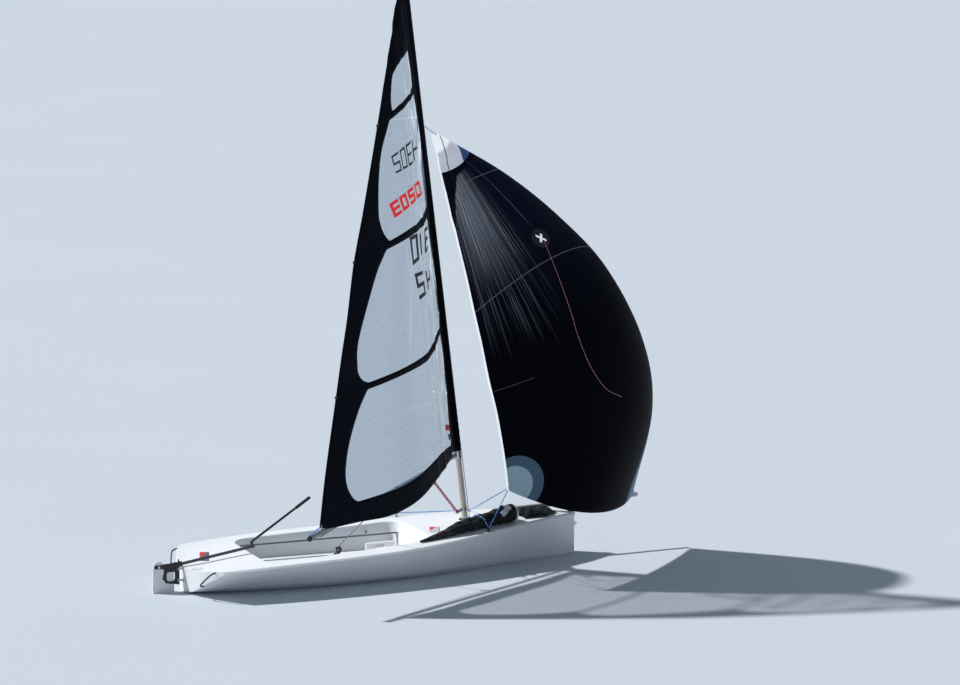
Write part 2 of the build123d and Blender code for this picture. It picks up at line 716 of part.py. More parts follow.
# Tiller extension on its knuckle
knuckle_x = TILLER_TIP[0] - 24
knuckle_z = TILLER_TIP[1] + 16
pivot = Vector(knuckle_x, 0, knuckle_z + 26)
ext_flat = Vector(math.cos(EXTENSION_YAW), math.sin(EXTENSION_YAW), 0)
ext_side = Vector(-math.sin(EXTENSION_YAW), math.cos(EXTENSION_YAW), 0)
ext_dir = ext_flat * math.cos(EXTENSION_RISE) + Vector(0, 0, math.sin(EXTENSION_RISE))
cross_plane = Plane(origin=pivot, x_dir=ext_flat, z_dir=ext_side)
with BuildPart() as knuckle:
    with BuildSketch(Plane.XY.offset(knuckle_z)):
        with Locations((knuckle_x, 0)):
            Circle(13)
            Circle(5 + PIN_PLAY, mode=Mode.SUBTRACT)
    extrude(amount=12)
    for side in (-1, 1):
        with BuildSketch(cross_plane.offset(side * 9)):
            with Locations((0, 7)):
                Rectangle(20, 15)
            Circle(10)
        extrude(amount=-side * 3)
    with BuildSketch(cross_plane.offset(-9)):
        Circle(4)
    extrude(amount=18)
knuckle.part.label = "knuckle"
export_step(knuckle.part, "parts/knuckle.step")

ext_plane = Plane(origin=pivot + ext_dir * 14, x_dir=ext_side, z_dir=ext_dir)
with BuildPart() as extension:
    with BuildSketch(cross_plane.offset(-5)):
        Circle(8)
    extrude(amount=10)
    with BuildSketch(ext_plane.offset(-10)):
        Rectangle(10, 12)
    extrude(amount=16)
    with BuildSketch(ext_plane):
        Circle(EXTENSION_R)
    extrude(amount=EXTENSION_LEN)
    with BuildSketch(cross_plane.offset(-20)):
        Circle(4 + PIN_PLAY)
    extrude(amount=40, mode=Mode.SUBTRACT)
extension.part.label = "extension"
export_step(extension.part, "parts/extension.step")

with BuildPart() as extension_grip:
    with BuildSketch(ext_plane.offset(EXTENSION_LEN - GRIP_LEN)):
        Circle(GRIP_R)
        Circle(EXTENSION_R + SEAT, mode=Mode.SUBTRACT)
    extrude(amount=GRIP_LEN)
extension_grip.part.label = "extension_grip"
export_step(extension_grip.part, "parts/extension_grip.step")


def pulley(centre, axis, tail, radius, width):
    """A block: two cheeks round a grooved sheave, drawn out on one side into a tail."""
    plane = Plane(origin=centre, x_dir=tail, z_dir=axis)
    with BuildPart() as block:
        with BuildSketch(plane.offset(-width / 2)):
            Circle(radius)
            with Locations((BLOCK_TAIL * radius / 2, 0)):
                Rectangle(BLOCK_TAIL * radius, radius)
        extrude(amount=width)
        with BuildSketch(plane.offset(-width / 4)):
            Circle(radius + 1)
            Circle(radius * BLOCK_GROOVE, mode=Mode.SUBTRACT)
        extrude(amount=width / 2, mode=Mode.SUBTRACT)
    return block


def boom_point(x):
    share = (x - BOOM_START[0]) / (BOOM_END[0] - BOOM_START[0])
    return rig_point(x, BOOM_START[1] + share * (BOOM_END[1] - BOOM_START[1]))


def boom_strap(x):
    """A band round the boom."""
    with BuildPart() as strap:
        with BuildSketch(Plane(origin=boom_point(x), x_dir=leeward, z_dir=boom_dir).offset(-STRAP_WIDE / 2)):
            Circle(BOOM_R + STRAP_BAND)
            Circle(BOOM_R + SEAT, mode=Mode.SUBTRACT)
        extrude(amount=STRAP_WIDE)
    return strap


# Mainsheet: a base and a ratchet block on the hump, and the block on the boom that its rope comes down from
ratchet_spot = Vector(SHEET_BASE_X, 0, RATCHET_Z)
sheet_run = ratchet_spot - boom_point(BOOM_BLOCK_X)
ratchet_axis = Vector(-sheet_run.Y, sheet_run.X, 0).normalized()
with BuildPart() as sheet_base:
    with BuildSketch(Plane.XY.offset(HUMP_Z)):
        with Locations((SHEET_BASE_X, 0)):
            RectangleRounded(SHEET_BASE[0], SHEET_BASE[1], 20)
    extrude(amount=SHEET_BASE[2])
    fillet(sheet_base.faces().sort_by(Axis.Z)[-1].edges(), 3)
    with BuildSketch(Plane.XY.offset(HUMP_Z)):
        with Locations((SHEET_BASE_X, 0)):
            Circle(SHEET_POST_R)
    extrude(amount=RATCHET_Z - BLOCK_TAIL * RATCHET_R - SEAT - HUMP_Z)
sheet_base.part.label = "sheet_base"
export_step(sheet_base.part, "parts/sheet_base.step")

ratchet_block = pulley(ratchet_spot, ratchet_axis, (0, 0, -1), RATCHET_R, RATCHET_W)
ratchet_block.part.label = "ratchet_block"
export_step(ratchet_block.part, "parts/ratchet_block.step")

boom_block_axis = boom_dir.cross(sheet_run).normalized()
boom_block_drop = boom_block_axis.cross(boom_dir)
boom_block_spot = boom_point(BOOM_BLOCK_X) + boom_block_drop * BOOM_BLOCK_DROP
hanging_block = pulley(boom_block_spot, boom_block_axis, boom_block_drop * -1, BOOM_BLOCK_R, SMALL_BLOCK_W)
with BuildPart() as boom_block:
    add(boom_strap(BOOM_BLOCK_X).part)
    add(hanging_block.part)
    with BuildSketch(Plane(origin=boom_block_spot, z_dir=boom_block_drop * -1).offset(BOOM_BLOCK_R)):
        Rectangle(BOOM_BLOCK_TAIL, BOOM_BLOCK_TAIL)
    extrude(amount=BOOM_BLOCK_DROP - BOOM_BLOCK_R - BOOM_R - 1)
boom_block.part.label = "boom_block"
export_step(boom_block.part, "parts/boom_block.step")

# Vang: a strop from the boom to its upper block, and a tang on the mast with its lower block
vang_high = rig_point(*VANG_UPPER)
vang_low = rig_point(*VANG_LOWER)
strop_head = boom_point(VANG_STRAP_X) - mast_dir * (BOOM_R + STRAP_BAND)
vang_up = (strop_head - vang_high).normalized()
strop_foot = vang_high + vang_up * (BLOCK_TAIL * VANG_BLOCK_R + SEAT)
with BuildPart() as vang_strop:
    add(boom_strap(VANG_STRAP_X).part)
    with BuildSketch(Plane(origin=strop_foot, z_dir=vang_up)):
        Circle(VANG_STROP_R)
    extrude(amount=(strop_head - strop_foot).length + 1)
    with BuildSketch(Plane(origin=boom_point(VANG_STRAP_X), z_dir=boom_dir).offset(-2 * STRAP_WIDE)):
        Circle(BOOM_R + SEAT)
    extrude(amount=4 * STRAP_WIDE, mode=Mode.SUBTRACT)
vang_strop.part.label = "vang_strop"
export_step(vang_strop.part, "parts/vang_strop.step")

vang_upper_block = pulley(vang_high, leeward, vang_up, VANG_BLOCK_R, SMALL_BLOCK_W)
vang_upper_block.part.label = "vang_upper_block"
export_step(vang_upper_block.part, "parts/vang_upper_block.step")

tang_h = GOOSENECK_H + VANG_LOWER[1]
tang_reach = VANG_LOWER[0] - BLOCK_TAIL * VANG_BLOCK_R - SEAT
with BuildPart() as vang_tang:
    with BuildSketch(mast_plane(tang_h - TANG_HIGH / 2)):
        Circle(MAST_R + TANG_BAND)
        with Locations((tang_reach / 2, 0)):
            Rectangle(tang_reach, TANG_EAR)
        Circle(MAST_R + SEAT, mode=Mode.SUBTRACT)
    extrude(amount=TANG_HIGH)
vang_tang.part.label = "vang_tang"
export_step(vang_tang.part, "parts/vang_tang.step")

vang_lower_block = pulley(vang_low, leeward, chord_dir * -1, VANG_BLOCK_R, SMALL_BLOCK_W)
vang_lower_block.part.label = "vang_lower_block"
export_step(vang_lower_block.part, "parts/vang_lower_block.step")

# Standing blocks for the kite's sheets, one on each side deck
for name, x, y in KITE_BLOCKS:
    deck = deck_z(x, y)
    standing = pulley((x, y, deck + KITE_BLOCK_UP), (0, 1, 0), (0, 0, -1), KITE_BLOCK_R, SMALL_BLOCK_W)
    with BuildPart() as kite_block:
        with BuildSketch(Plane.XY.offset(deck - 20)):
            with Locations((x, y)):
                Circle(KITE_BLOCK_R)
        extrude(amount=24)
        with BuildSketch(Plane.XY.offset(deck)):
            with Locations((x, y)):
                Circle(KITE_POST_R)
        extrude(amount=KITE_BLOCK_UP - KITE_BLOCK_R)
        add(standing.part)
        add(hull.part, mode=Mode.SUBTRACT)
    kite_block.part.label = f"kite_block_{name}"
    export_step(kite_block.part, f"parts/kite_block_{name}.step")

# Toe straps along the cockpit and grab handles on the stern, one on each side
for name, side in (("port", 1), ("starboard", -1)):
    strap_aft, strap_fore = (Vector(x, side * y, z) for x, y, z in (TOE_STRAP_AFT, TOE_STRAP_FORE))
    strap_len = (strap_fore - strap_aft).length
    strap_plane = Plane(origin=strap_aft, x_dir=(0, 1, 0), z_dir=strap_fore - strap_aft)
    with BuildPart() as toe_strap:
        with BuildSketch(strap_plane):
            Rectangle(*TOE_STRAP)
        extrude(amount=strap_len)
        for start in (0, strap_len - TOE_STRAP_PAD[2]):
            with BuildSketch(strap_plane.offset(start)):
                RectangleRounded(TOE_STRAP_PAD[0], TOE_STRAP_PAD[1], 5)
            extrude(amount=TOE_STRAP_PAD[2])
        add(hull.part, mode=Mode.SUBTRACT)
    toe_strap.part.label = f"toe_strap_{name}"
    export_step(toe_strap.part, f"parts/toe_strap_{name}.step")

    ends = [Vector(x, side * y, z) for x, y, z in (HANDLE_TOP, HANDLE_LOW)]
    outward = [(end - Vector(STERN_X + stern_radius, 0, end.Z)).normalized() for end in ends]
    with BuildPart() as grab_handle:
        with BuildLine() as bend:
            FilletPolyline(
                ends[0] - outward[0] * HANDLE_SINK,
                ends[0] + outward[0] * HANDLE_OUT,
                ends[1] + outward[1] * HANDLE_OUT,
                ends[1] - outward[1] * HANDLE_SINK,
                radius=HANDLE_BEND,
            )
        with BuildSketch(Plane(origin=bend.line @ 0, z_dir=bend.line % 0)):
            Circle(HANDLE_R)
        sweep()
        add(hull.part, mode=Mode.SUBTRACT)
    grab_handle.part.label = f"grab_handle_{name}"
    export_step(grab_handle.part, f"parts/grab_handle_{name}.step")

# Bow eye on the stem
with BuildPart() as bow_eye:
    with BuildSketch(Plane.XZ.offset(-BOW_EYE_T / 2)):
        with Locations((BOW_X + 18, BOW_EYE_Z)):
            Circle(16)
        with Locations((BOW_X + 9 + SEAT, BOW_EYE_Z)):
            Rectangle(18, 32)
        with Locations((BOW_X + 18, BOW_EYE_Z)):
            Circle(BOW_EYE_R, mode=Mode.SUBTRACT)
    extrude(amount=BOW_EYE_T)
    with BuildSketch(Plane.YZ.offset(BOW_X + SEAT)):
        with Locations((0, BOW_EYE_Z)):
            RectangleRounded(30, 60, 6)
    extrude(amount=4)
bow_eye.part.label = "bow_eye"
export_step(bow_eye.part, "parts/bow_eye.step")

# Strop from the pole end up to the kite's tack
tack = Vector(*KITE_SECTIONS[-1][1])
with BuildPart() as tack_strop:
    with BuildSketch(Plane(origin=(tack.X - 8, 0, tack.Z - STROP_DROP), z_dir=(0, 0, 1))):
        Circle(6)
    extrude(amount=-STROP_LEN)
tack_strop.part.label = "tack_strop"
export_step(tack_strop.part, "parts/tack_strop.step")
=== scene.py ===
# %% [markdown]
# A single-handed sailing dinghy, afloat, with its mainsail out to starboard and a dark kite on a bow pole.
# The solids of hull, spars, foils and fittings come ready made. These cells give them their finishes and
# add what is sewn, tied or moulded finely: sails, battens, ropes, the sock, patches and small metal
# fittings. Everything is in metres: +X to the bow, +Y to port, +Z up, with the origin at the waterline.

# %% Load the frame
import json
import math

import bpy
from mathutils import Matrix, Vector


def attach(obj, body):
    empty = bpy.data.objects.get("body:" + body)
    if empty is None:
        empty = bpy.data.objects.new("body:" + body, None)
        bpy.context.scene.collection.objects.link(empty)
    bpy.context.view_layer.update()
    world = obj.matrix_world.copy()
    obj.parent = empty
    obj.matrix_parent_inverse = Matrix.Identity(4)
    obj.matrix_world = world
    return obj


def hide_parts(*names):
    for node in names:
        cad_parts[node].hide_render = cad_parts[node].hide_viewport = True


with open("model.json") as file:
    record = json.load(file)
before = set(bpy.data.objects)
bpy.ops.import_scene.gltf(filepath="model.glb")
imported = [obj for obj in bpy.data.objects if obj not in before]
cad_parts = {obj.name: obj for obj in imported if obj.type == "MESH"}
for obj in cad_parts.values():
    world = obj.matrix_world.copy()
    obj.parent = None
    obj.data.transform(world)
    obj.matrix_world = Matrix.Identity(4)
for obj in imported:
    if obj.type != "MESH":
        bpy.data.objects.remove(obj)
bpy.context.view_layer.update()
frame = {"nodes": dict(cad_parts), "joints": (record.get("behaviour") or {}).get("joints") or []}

# %% [markdown]
# The camera comes first, because everything is judged through it. The boat was heeled and a little bow-up
# when it was seen, so in the boat's own frame the camera leans the other way. Its three directions are kept
# as measured.

# %% Camera
CAMERA_PLACE = Vector((-10.9955, -28.0329, 6.9312))
CAMERA_RIGHT = Vector((0.9191127, -0.39394774, -0.00608429))
CAMERA_UP = Vector((0.06773063, 0.14277081, 0.9874356))
CAMERA_AHEAD = Vector((0.38812936, 0.90797669, -0.15790479))
CAMERA_LENS_MM = 125.55
CAMERA_SENSOR_MM = 36
CAMERA_NEAR, CAMERA_FAR = 1, 500

bpy.ops.object.camera_add()
camera = bpy.context.object
camera.name = "camera"
camera.data.lens = CAMERA_LENS_MM
camera.data.sensor_width = CAMERA_SENSOR_MM
camera.data.clip_start = CAMERA_NEAR
camera.data.clip_end = CAMERA_FAR
turned = Matrix((CAMERA_RIGHT, CAMERA_UP, -CAMERA_AHEAD)).transposed()
camera.matrix_world = Matrix.Translation(CAMERA_PLACE) @ turned.to_4x4()
bpy.context.scene.camera = camera
print("camera", round(CAMERA_PLACE.length, 2), "m from the origin")

# %% [markdown]
# The floor is a wide pale plane at the waterline, so that the boat sits in it as it does afloat. A sun from
# high over the port quarter lights the deck and leaves the starboard topsides in soft shade, as in the
# reference, and the pale sky fills that shade.

# %% Floor, sky and sun
FLOOR_HALF = 220
FLOOR_GRAIN = 0.25
FLOOR_COLOUR = (0.53, 0.585, 0.635, 1)
FLOOR_CLOUD = (0.56, 0.61, 0.655, 1)
SKY_LIGHT = (0.72, 0.83, 1.00, 1)
SKY_SEEN = (0.78, 0.82, 0.86, 1)
SKY_STRENGTH = 0.32
SUN_STRENGTH = 3.9
SUN_FROM = Vector((-0.70, 0.58, 0.90))
SUN_SOFT = math.radians(2)

scene = bpy.context.scene
scene.view_settings.view_transform = "Standard"


def drop_selection():
    """Nothing stays selected, so that the next operator acts on its own piece alone."""
    if bpy.context.object and bpy.context.object.mode != "OBJECT":
        bpy.ops.object.mode_set(mode="OBJECT")
    bpy.ops.object.select_all(action="DESELECT")


drop_selection()
bpy.ops.mesh.primitive_plane_add(size=2 * FLOOR_HALF)
floor = bpy.context.object
floor.name = "floor"

bpy.ops.object.light_add(type="SUN")
sun = bpy.context.object
sun.data.energy = SUN_STRENGTH
sun.data.angle = SUN_SOFT
sun.rotation_euler = SUN_FROM.to_track_quat("Z", "Y").to_euler()
print("sun height", round(math.degrees(math.asin(SUN_FROM.normalized().z)), 1))

# %% [markdown]
# A finish is a small network of shader nodes. Two helpers keep it readable. Wire wraps one socket, so that
# masks are written as sums and products. Finish holds one material and adds any other node through a single
# method.

# %% Shader helpers
class Wire:
    """A shader socket that adds, subtracts and multiplies like a number."""

    def __init__(self, finish, socket):
        self.finish = finish
        self.socket = socket

    def math(self, operation, other=None, clamp=False):
        values = {0: self} if other is None else {0: self, 1: other}
        return self.finish.node("ShaderNodeMath", {"operation": operation, "use_clamp": clamp}, values)

    def __add__(self, other):
        return self.math("ADD", other)

    __radd__ = __add__

    def __mul__(self, other):
        return self.math("MULTIPLY", other)

    __rmul__ = __mul__

    def __sub__(self, other):
        return self.math("SUBTRACT", other)

    def __rsub__(self, other):
        return (self * -1) + other

    def __gt__(self, other):
        return self.math("GREATER_THAN", other)

    def __lt__(self, other):
        return self.math("LESS_THAN", other)

    def wave(self, cycles):
        """A sine of this many cycles a metre, from 0 to 1."""
        return (self * (2 * math.pi * cycles)).math("SINE") * 0.5 + 0.5

    def clamped(self):
        return self.math("ADD", 0.0, clamp=True)

    def smooth(self, low, high):
        """0 below low and 1 above high, with an eased step between."""
        settings = {"interpolation_type": "SMOOTHSTEP"}
        return self.finish.node("ShaderNodeMapRange", settings, {0: self, 1: low, 2: high}, 0)


class Finish:
    """One material and its node tree."""

    def __init__(self, name, **sockets):
        self.material = bpy.data.materials.new(name)
        self.material.use_nodes = True
        self.tree = self.material.node_tree
        self.shader = self.tree.nodes["Principled BSDF"]
        self.show(**sockets)

    def feed(self, node, values):
        for key, value in values.items():
            if isinstance(value, Wire):
                self.tree.links.new(value.socket, node.inputs[key])
            else:
                node.inputs[key].default_value = value

    def node(self, kind, settings=None, values=None, output=0):
        made = self.tree.nodes.new(kind)
        for key, value in (settings or {}).items():
            if key == "stops":
                for place, colour in value[len(made.color_ramp.elements):]:
                    made.color_ramp.elements.new(place)
                for element, (place, colour) in zip(made.color_ramp.elements, value):
                    element.position = place
                    element.color = colour
            else:
                setattr(made, key, value)
        self.feed(made, values or {})
        return Wire(self, made.outputs[output])

    def place(self):
        return self.node("ShaderNodeTexCoord", output="Object")

    def own_map(self, name):
        return self.node("ShaderNodeUVMap", {"uv_map": name})

    def held(self, name):
        """A value that the mesh keeps at its points."""
        return self.node("ShaderNodeAttribute", {"attribute_name": name}, output="Fac")

    def parts(self, vector):
        node = self.node("ShaderNodeSeparateXYZ", values={0: vector}).socket.node
        return [Wire(self, socket) for socket in node.outputs]

    def stretched(self, vector, scale):
        return self.node("ShaderNodeMapping", values={"Vector": vector, "Scale": scale})

    def noise(self, vector, scale, detail=3, roughness=0.5):
        values = {"Vector": vector, "Scale": scale, "Detail": detail, "Roughness": roughness}
        return self.node("ShaderNodeTexNoise", values=values)

    def mixed(self, mask, first, second):
        return self.node("ShaderNodeMix", {"data_type": "RGBA"}, {0: mask, 6: first, 7: second}, 2)

    def bump(self, height, distance, strength=1.0):
        values = {"Height": height, "Distance": distance, "Strength": strength}
        self.feed(self.shader, {"Normal": self.node("ShaderNodeBump", values=values)})

    def show(self, **sockets):
        self.feed(self.shader, {key.replace("_", " "): value for key, value in sockets.items()})
        return self.material


print("shader helpers ready")

# %% [markdown]
# The floor is pale with a faint cloud in it, drawn by one soft noise. The sky does two jobs: it lights the
# boat from all round, and it is the backdrop. Light Path tells the two apart, so the camera and clear film
# see a paler sky than the one that lights the boat, and no light is added to get a pale background.

# %% Floor and sky finishes
floor_finish = Finish("pale_floor", Roughness=0.9)
grain = floor_finish.noise(floor_finish.place(), FLOOR_GRAIN)
floor.data.materials.append(
    floor_finish.show(Base_Color=floor_finish.mixed(grain, FLOOR_COLOUR, FLOOR_CLOUD))
)

world = bpy.data.worlds.new("sky")
scene.world = world
world.use_nodes = True
sky = world.node_tree
sky_light = sky.nodes["Background"]
sky_light.inputs["Color"].default_value = SKY_LIGHT
sky_light.inputs["Strength"].default_value = SKY_STRENGTH
sky_seen = sky.nodes.new("ShaderNodeBackground")
sky_seen.inputs["Color"].default_value = SKY_SEEN
rays = sky.nodes.new("ShaderNodeLightPath")
either = sky.nodes.new("ShaderNodeMath")
either.operation = "MAXIMUM"
sky_mix = sky.nodes.new("ShaderNodeMixShader")
sky.links.new(rays.outputs["Is Camera Ray"], either.inputs[0])
sky.links.new(rays.outputs["Is Transmission Ray"], either.inputs[1])
sky.links.new(either.outputs[0], sky_mix.inputs[0])
sky.links.new(sky_light.outputs[0], sky_mix.inputs[1])
sky.links.new(sky_seen.outputs[0], sky_mix.inputs[2])
sky.links.new(sky_mix.outputs[0], sky.nodes["World Output"].inputs["Surface"])
print("floor half width", FLOOR_HALF, "m")

# %% [markdown]
# The hull of such a boat is moulded in white plastic: a satin skin with a faint orange peel, a fine raised
# grip on the walking surfaces, and a little grey dirt low down. All of it comes from the place on the hull.

# %% Hull finish
HULL_WHITE = (0.86, 0.875, 0.89, 1)
HULL_DULL = (0.74, 0.77, 0.80, 1)
PEEL_SCALE = 140
GRIP_CYCLES = 95
GRIP_FACING = (0.88, 0.96)
DIRT_HEIGHTS = (-0.02, 0.12)


def hull_finish():
    finish = Finish("hull_white", Roughness=0.35)
    place = finish.place()
    peel = finish.noise(place, PEEL_SCALE, 2)
    cloud = finish.noise(place, 2.2, 4)
    x, y, z = finish.parts(place)
    upward = finish.parts(finish.node("ShaderNodeNewGeometry", output="Normal"))[2]
    grip_zone = upward.smooth(*GRIP_FACING)
    grip = x.wave(GRIP_CYCLES) * y.wave(GRIP_CYCLES) * grip_zone
    low = 1 - z.smooth(*DIRT_HEIGHTS)
    dirt = (cloud.smooth(0.42, 0.75) * 0.35 + low * 0.35).clamped()
    finish.bump(peel * 0.25 + grip * 0.6, 0.0008, 0.6)
    return finish.show(
        Base_Color=finish.mixed(dirt, HULL_WHITE, HULL_DULL),
        Roughness=cloud * 0.16 + grip_zone * 0.14 + 0.22,
    )


hull_white = hull_finish()
print("hull finish", len(hull_white.node_tree.nodes), "nodes")

# %% [markdown]
# The fittings are of moulded plastic, rubber, painted or drawn metal, and webbing. Each family has one
# recipe: a colour that clouds a little and wears paler, under a fine skin of bump. The streaks of drawn
# metal are a noise stretched along the part. The straps of webbing lean in towards the bow, and their
# stitching follows that lean.

# %% Finishes for plastic, metal, rubber and webbing
STRAP_AFT_END, STRAP_FORE_END = (-1.300, 0.430), (0.330, 0.340)
STRAP_BLACK = (0.045, 0.047, 0.055, 1)
STRAP_WORN = (0.085, 0.088, 0.098, 1)
STRAP_THREAD = (0.25, 0.25, 0.27, 1)
STRAP_STITCH_OUT, STRAP_STITCH_HALF = 0.019, 0.0012
SKIN_DEEP, STREAK_DEEP, RIB_DEEP = 0.0004, 0.0002, 0.0007


def moulded(name, colour, worn, roughness, fine=260, **sockets):
    """Moulded or painted surface: slight mottling, worn lighter here and there, with a fine skin."""
    finish = Finish(name, **sockets)
    place = finish.place()
    cloud = finish.noise(place, 9, 4)
    skin = finish.noise(place, fine, 2)
    finish.bump(skin, SKIN_DEEP, 0.35)
    return finish.show(
        Base_Color=finish.mixed(cloud.smooth(0.50, 0.78) * 0.6, colour, worn),
        Roughness=cloud * 0.2 + roughness - 0.1,
    )


def drawn_metal(name, colour, dull, roughness, metallic=1.0):
    """Drawn or anodised metal: fine lengthwise streaks and softly clouded gloss."""
    finish = Finish(name, Metallic=metallic)
    place = finish.place()
    streak = finish.noise(finish.stretched(place, (1, 1, 0.03)), 160, 3)
    cloud = finish.noise(place, 5, 4)
    finish.bump(streak, STREAK_DEEP, 0.3)
    return finish.show(
        Base_Color=finish.mixed(cloud.smooth(0.4, 0.7) * 0.5, colour, dull),
        Roughness=streak * 0.14 + cloud * 0.12 + roughness - 0.13,
    )


black_plastic = moulded("black_plastic", (0.008, 0.008, 0.010, 1), (0.028, 0.028, 0.031, 1), 0.45)
black_metal = moulded("black_metal", (0.010, 0.010, 0.012, 1), (0.040, 0.040, 0.044, 1), 0.38)
pole_grey = moulded("pole_grey", (0.55, 0.57, 0.60, 1), (0.45, 0.47, 0.50, 1), 0.40)
worn_metal = moulded("worn_metal", (0.065, 0.067, 0.075, 1), (0.13, 0.13, 0.14, 1), 0.34)
black_rubber = moulded("black_rubber", (0.013, 0.013, 0.014, 1), (0.03, 0.03, 0.03, 1), 0.72)
spar_grey = drawn_metal("spar_grey", (0.40, 0.42, 0.44, 1), (0.30, 0.32, 0.34, 1), 0.40, 0.85)
mast_gold = drawn_metal("mast_gold", (0.72, 0.66, 0.57, 1), (0.58, 0.53, 0.45, 1), 0.45, 0.25)
steel = drawn_metal("steel", (0.60, 0.61, 0.63, 1), (0.48, 0.49, 0.52, 1), 0.28)
red_plastic = moulded("red_plastic", (0.50, 0.030, 0.035, 1), (0.60, 0.12, 0.10, 1), 0.38)
foil_white = moulded("foil_white", (0.80, 0.81, 0.80, 1), (0.70, 0.72, 0.72, 1), 0.35)


def woven_strap():
    """Webbing: ribs across the strap and two paler lines of stitching along it."""
    finish = Finish("webbing", Specular_IOR_Level=0.2)
    place = finish.place()
    x, y = finish.parts(place)[:2]
    lean = (STRAP_FORE_END[1] - STRAP_AFT_END[1]) / (STRAP_FORE_END[0] - STRAP_AFT_END[0])
    off_middle = y.math("ABSOLUTE") - x * lean - (STRAP_AFT_END[1] - lean * STRAP_AFT_END[0])
    ribs = x.wave(240) * 0.6 + y.wave(420) * 0.4
    lines = (off_middle.math("ABSOLUTE") - STRAP_STITCH_OUT).math("ABSOLUTE") < STRAP_STITCH_HALF
    cloud = finish.noise(place, 12, 4)
    finish.bump(ribs + lines * x.wave(150), RIB_DEEP, 0.6)
    base = finish.mixed(cloud.smooth(0.4, 0.7), STRAP_BLACK, STRAP_WORN)
    return finish.show(
        Base_Color=finish.mixed(lines * 0.6, base, STRAP_THREAD),
        Roughness=cloud * 0.2 + 0.6,
    )


webbing = woven_strap()
NODE_FINISHES = {
    "hull": hull_white,
    "mast_lower": mast_gold,
    "mast_upper": spar_grey,
    "boom": spar_grey,
    "bow_pole": pole_grey,
    "daggerboard": foil_white,
    "board_cap": foil_white,
    "sheet_base": red_plastic,
    "vang_tang": steel,
    "gooseneck": steel,
    "sock_hoop": foil_white,
    "pole_end_cap": foil_white,
    "vang_upper_block": spar_grey,
    "kite_block_port": spar_grey,
    "toe_strap_port": webbing,
    "toe_strap_starboard": webbing,
    "rudder_blade": foil_white,
    "gudgeons": steel,
    "bow_eye": steel,
    "blade_bolt": steel,
    "rudder_stock": black_metal,
    "tiller": worn_metal,
    "extension": black_metal,
    "extension_grip": black_rubber,
}
for name, node in frame["nodes"].items():
    node.data.materials.clear()
    node.data.materials.append(NODE_FINISHES.get(name, black_plastic))
print("finished nodes", len(frame["nodes"]))

# %% [markdown]
# The mainsail is one dark cloth with four clear windows. On the real sail the panels are cut flat, glued
# and sewn, and the mast's sleeve, the boom and the battens stretch them to a shallow curve that twists open
# towards the head. It is laid out here the same way: first flat, in the sail's own plane, with x aft from
# the mast and h up the mast, then every point moves out to leeward by the camber and the twist. The plane
# comes from the rig's joint.

# %% The sail's own plane
SWEEP = math.radians(35)
GOOSENECK_UP = 0.66
TWIST = math.radians(9)
CAMBER = 0.075
CLEW_CORNER = (2.290, -0.095)
HEAD_CORNER = (0.060, 4.425)
LEAST_CHORD = 0.12
ROACH = 0.15

rig_joint = next(joint for joint in frame["joints"] if joint["name"] == "rig_turn")
mast_foot = Vector(rig_joint["pos_m"])
mast_up = Vector(rig_joint["axis"]).normalized()
starboard = Vector((0, -1, 0))
aft = mast_up.cross(starboard) * -1
if aft.x > 0:
    aft = aft * -1
chord_way = aft * math.cos(SWEEP) + starboard * math.sin(SWEEP)
leeward = starboard * math.cos(SWEEP) - aft * math.sin(SWEEP)
gooseneck_spot = mast_foot + mast_up * GOOSENECK_UP


def rig_spot(x, h, out=0.0):
    return gooseneck_spot + chord_way * x + mast_up * h + leeward * out


def up_share(h):
    return min(max((h - CLEW_CORNER[1]) / (HEAD_CORNER[1] - CLEW_CORNER[1]), 0), 1)


def chord_at(h):
    share = up_share(h)
    return max(LEAST_CHORD, CLEW_CORNER[0] * (1 - share) + ROACH * math.sin(math.pi * share))


def sail_out(x, h):
    """How far the sail stands to leeward of its plane."""
    chord = chord_at(h)
    return math.tan(TWIST) * up_share(h) * x + 4 * CAMBER * x * (chord - x) / chord


print("chord way", [round(v, 3) for v in chord_way], "leeward", [round(v, 3) for v in leeward])

# %% [markdown]
# Each window has four sides, read from the reference as a few points a side. The sail is split into four
# cells, one round each window, whose borders run along the middle of the dark straps. A cell's cloth is
# then a band of quads from the window's edge to the cell's border, and its pane is a grid inside, so no
# face crosses an edge.

# %% Outlines of the windows
LUFF_FOOT = (0.0358, 0.008)
LUFF_HEAD = (0.0232, 4.425)
LEECH_POINTS = (
    (2.290, -0.095), (2.150, 0.327), (1.985, 0.755), (1.772, 1.276), (1.622, 1.611), (1.427, 2.066),
    (1.194, 2.491), (0.976, 2.883), (0.708, 3.345), (0.526, 3.651), (0.366, 3.913), (0.243, 4.119),
    (0.179, 4.218), (0.060, 4.425),
)
FOOT_POINTS = (
    (0.0358, 0.030), (0.110, 0.024), (0.200, -0.014), (0.301, -0.046), (0.462, -0.082), (0.612, -0.120),
    (0.906, -0.189), (1.178, -0.216), (1.477, -0.211), (1.842, -0.159), (2.157, -0.128), (2.290, -0.095),
)
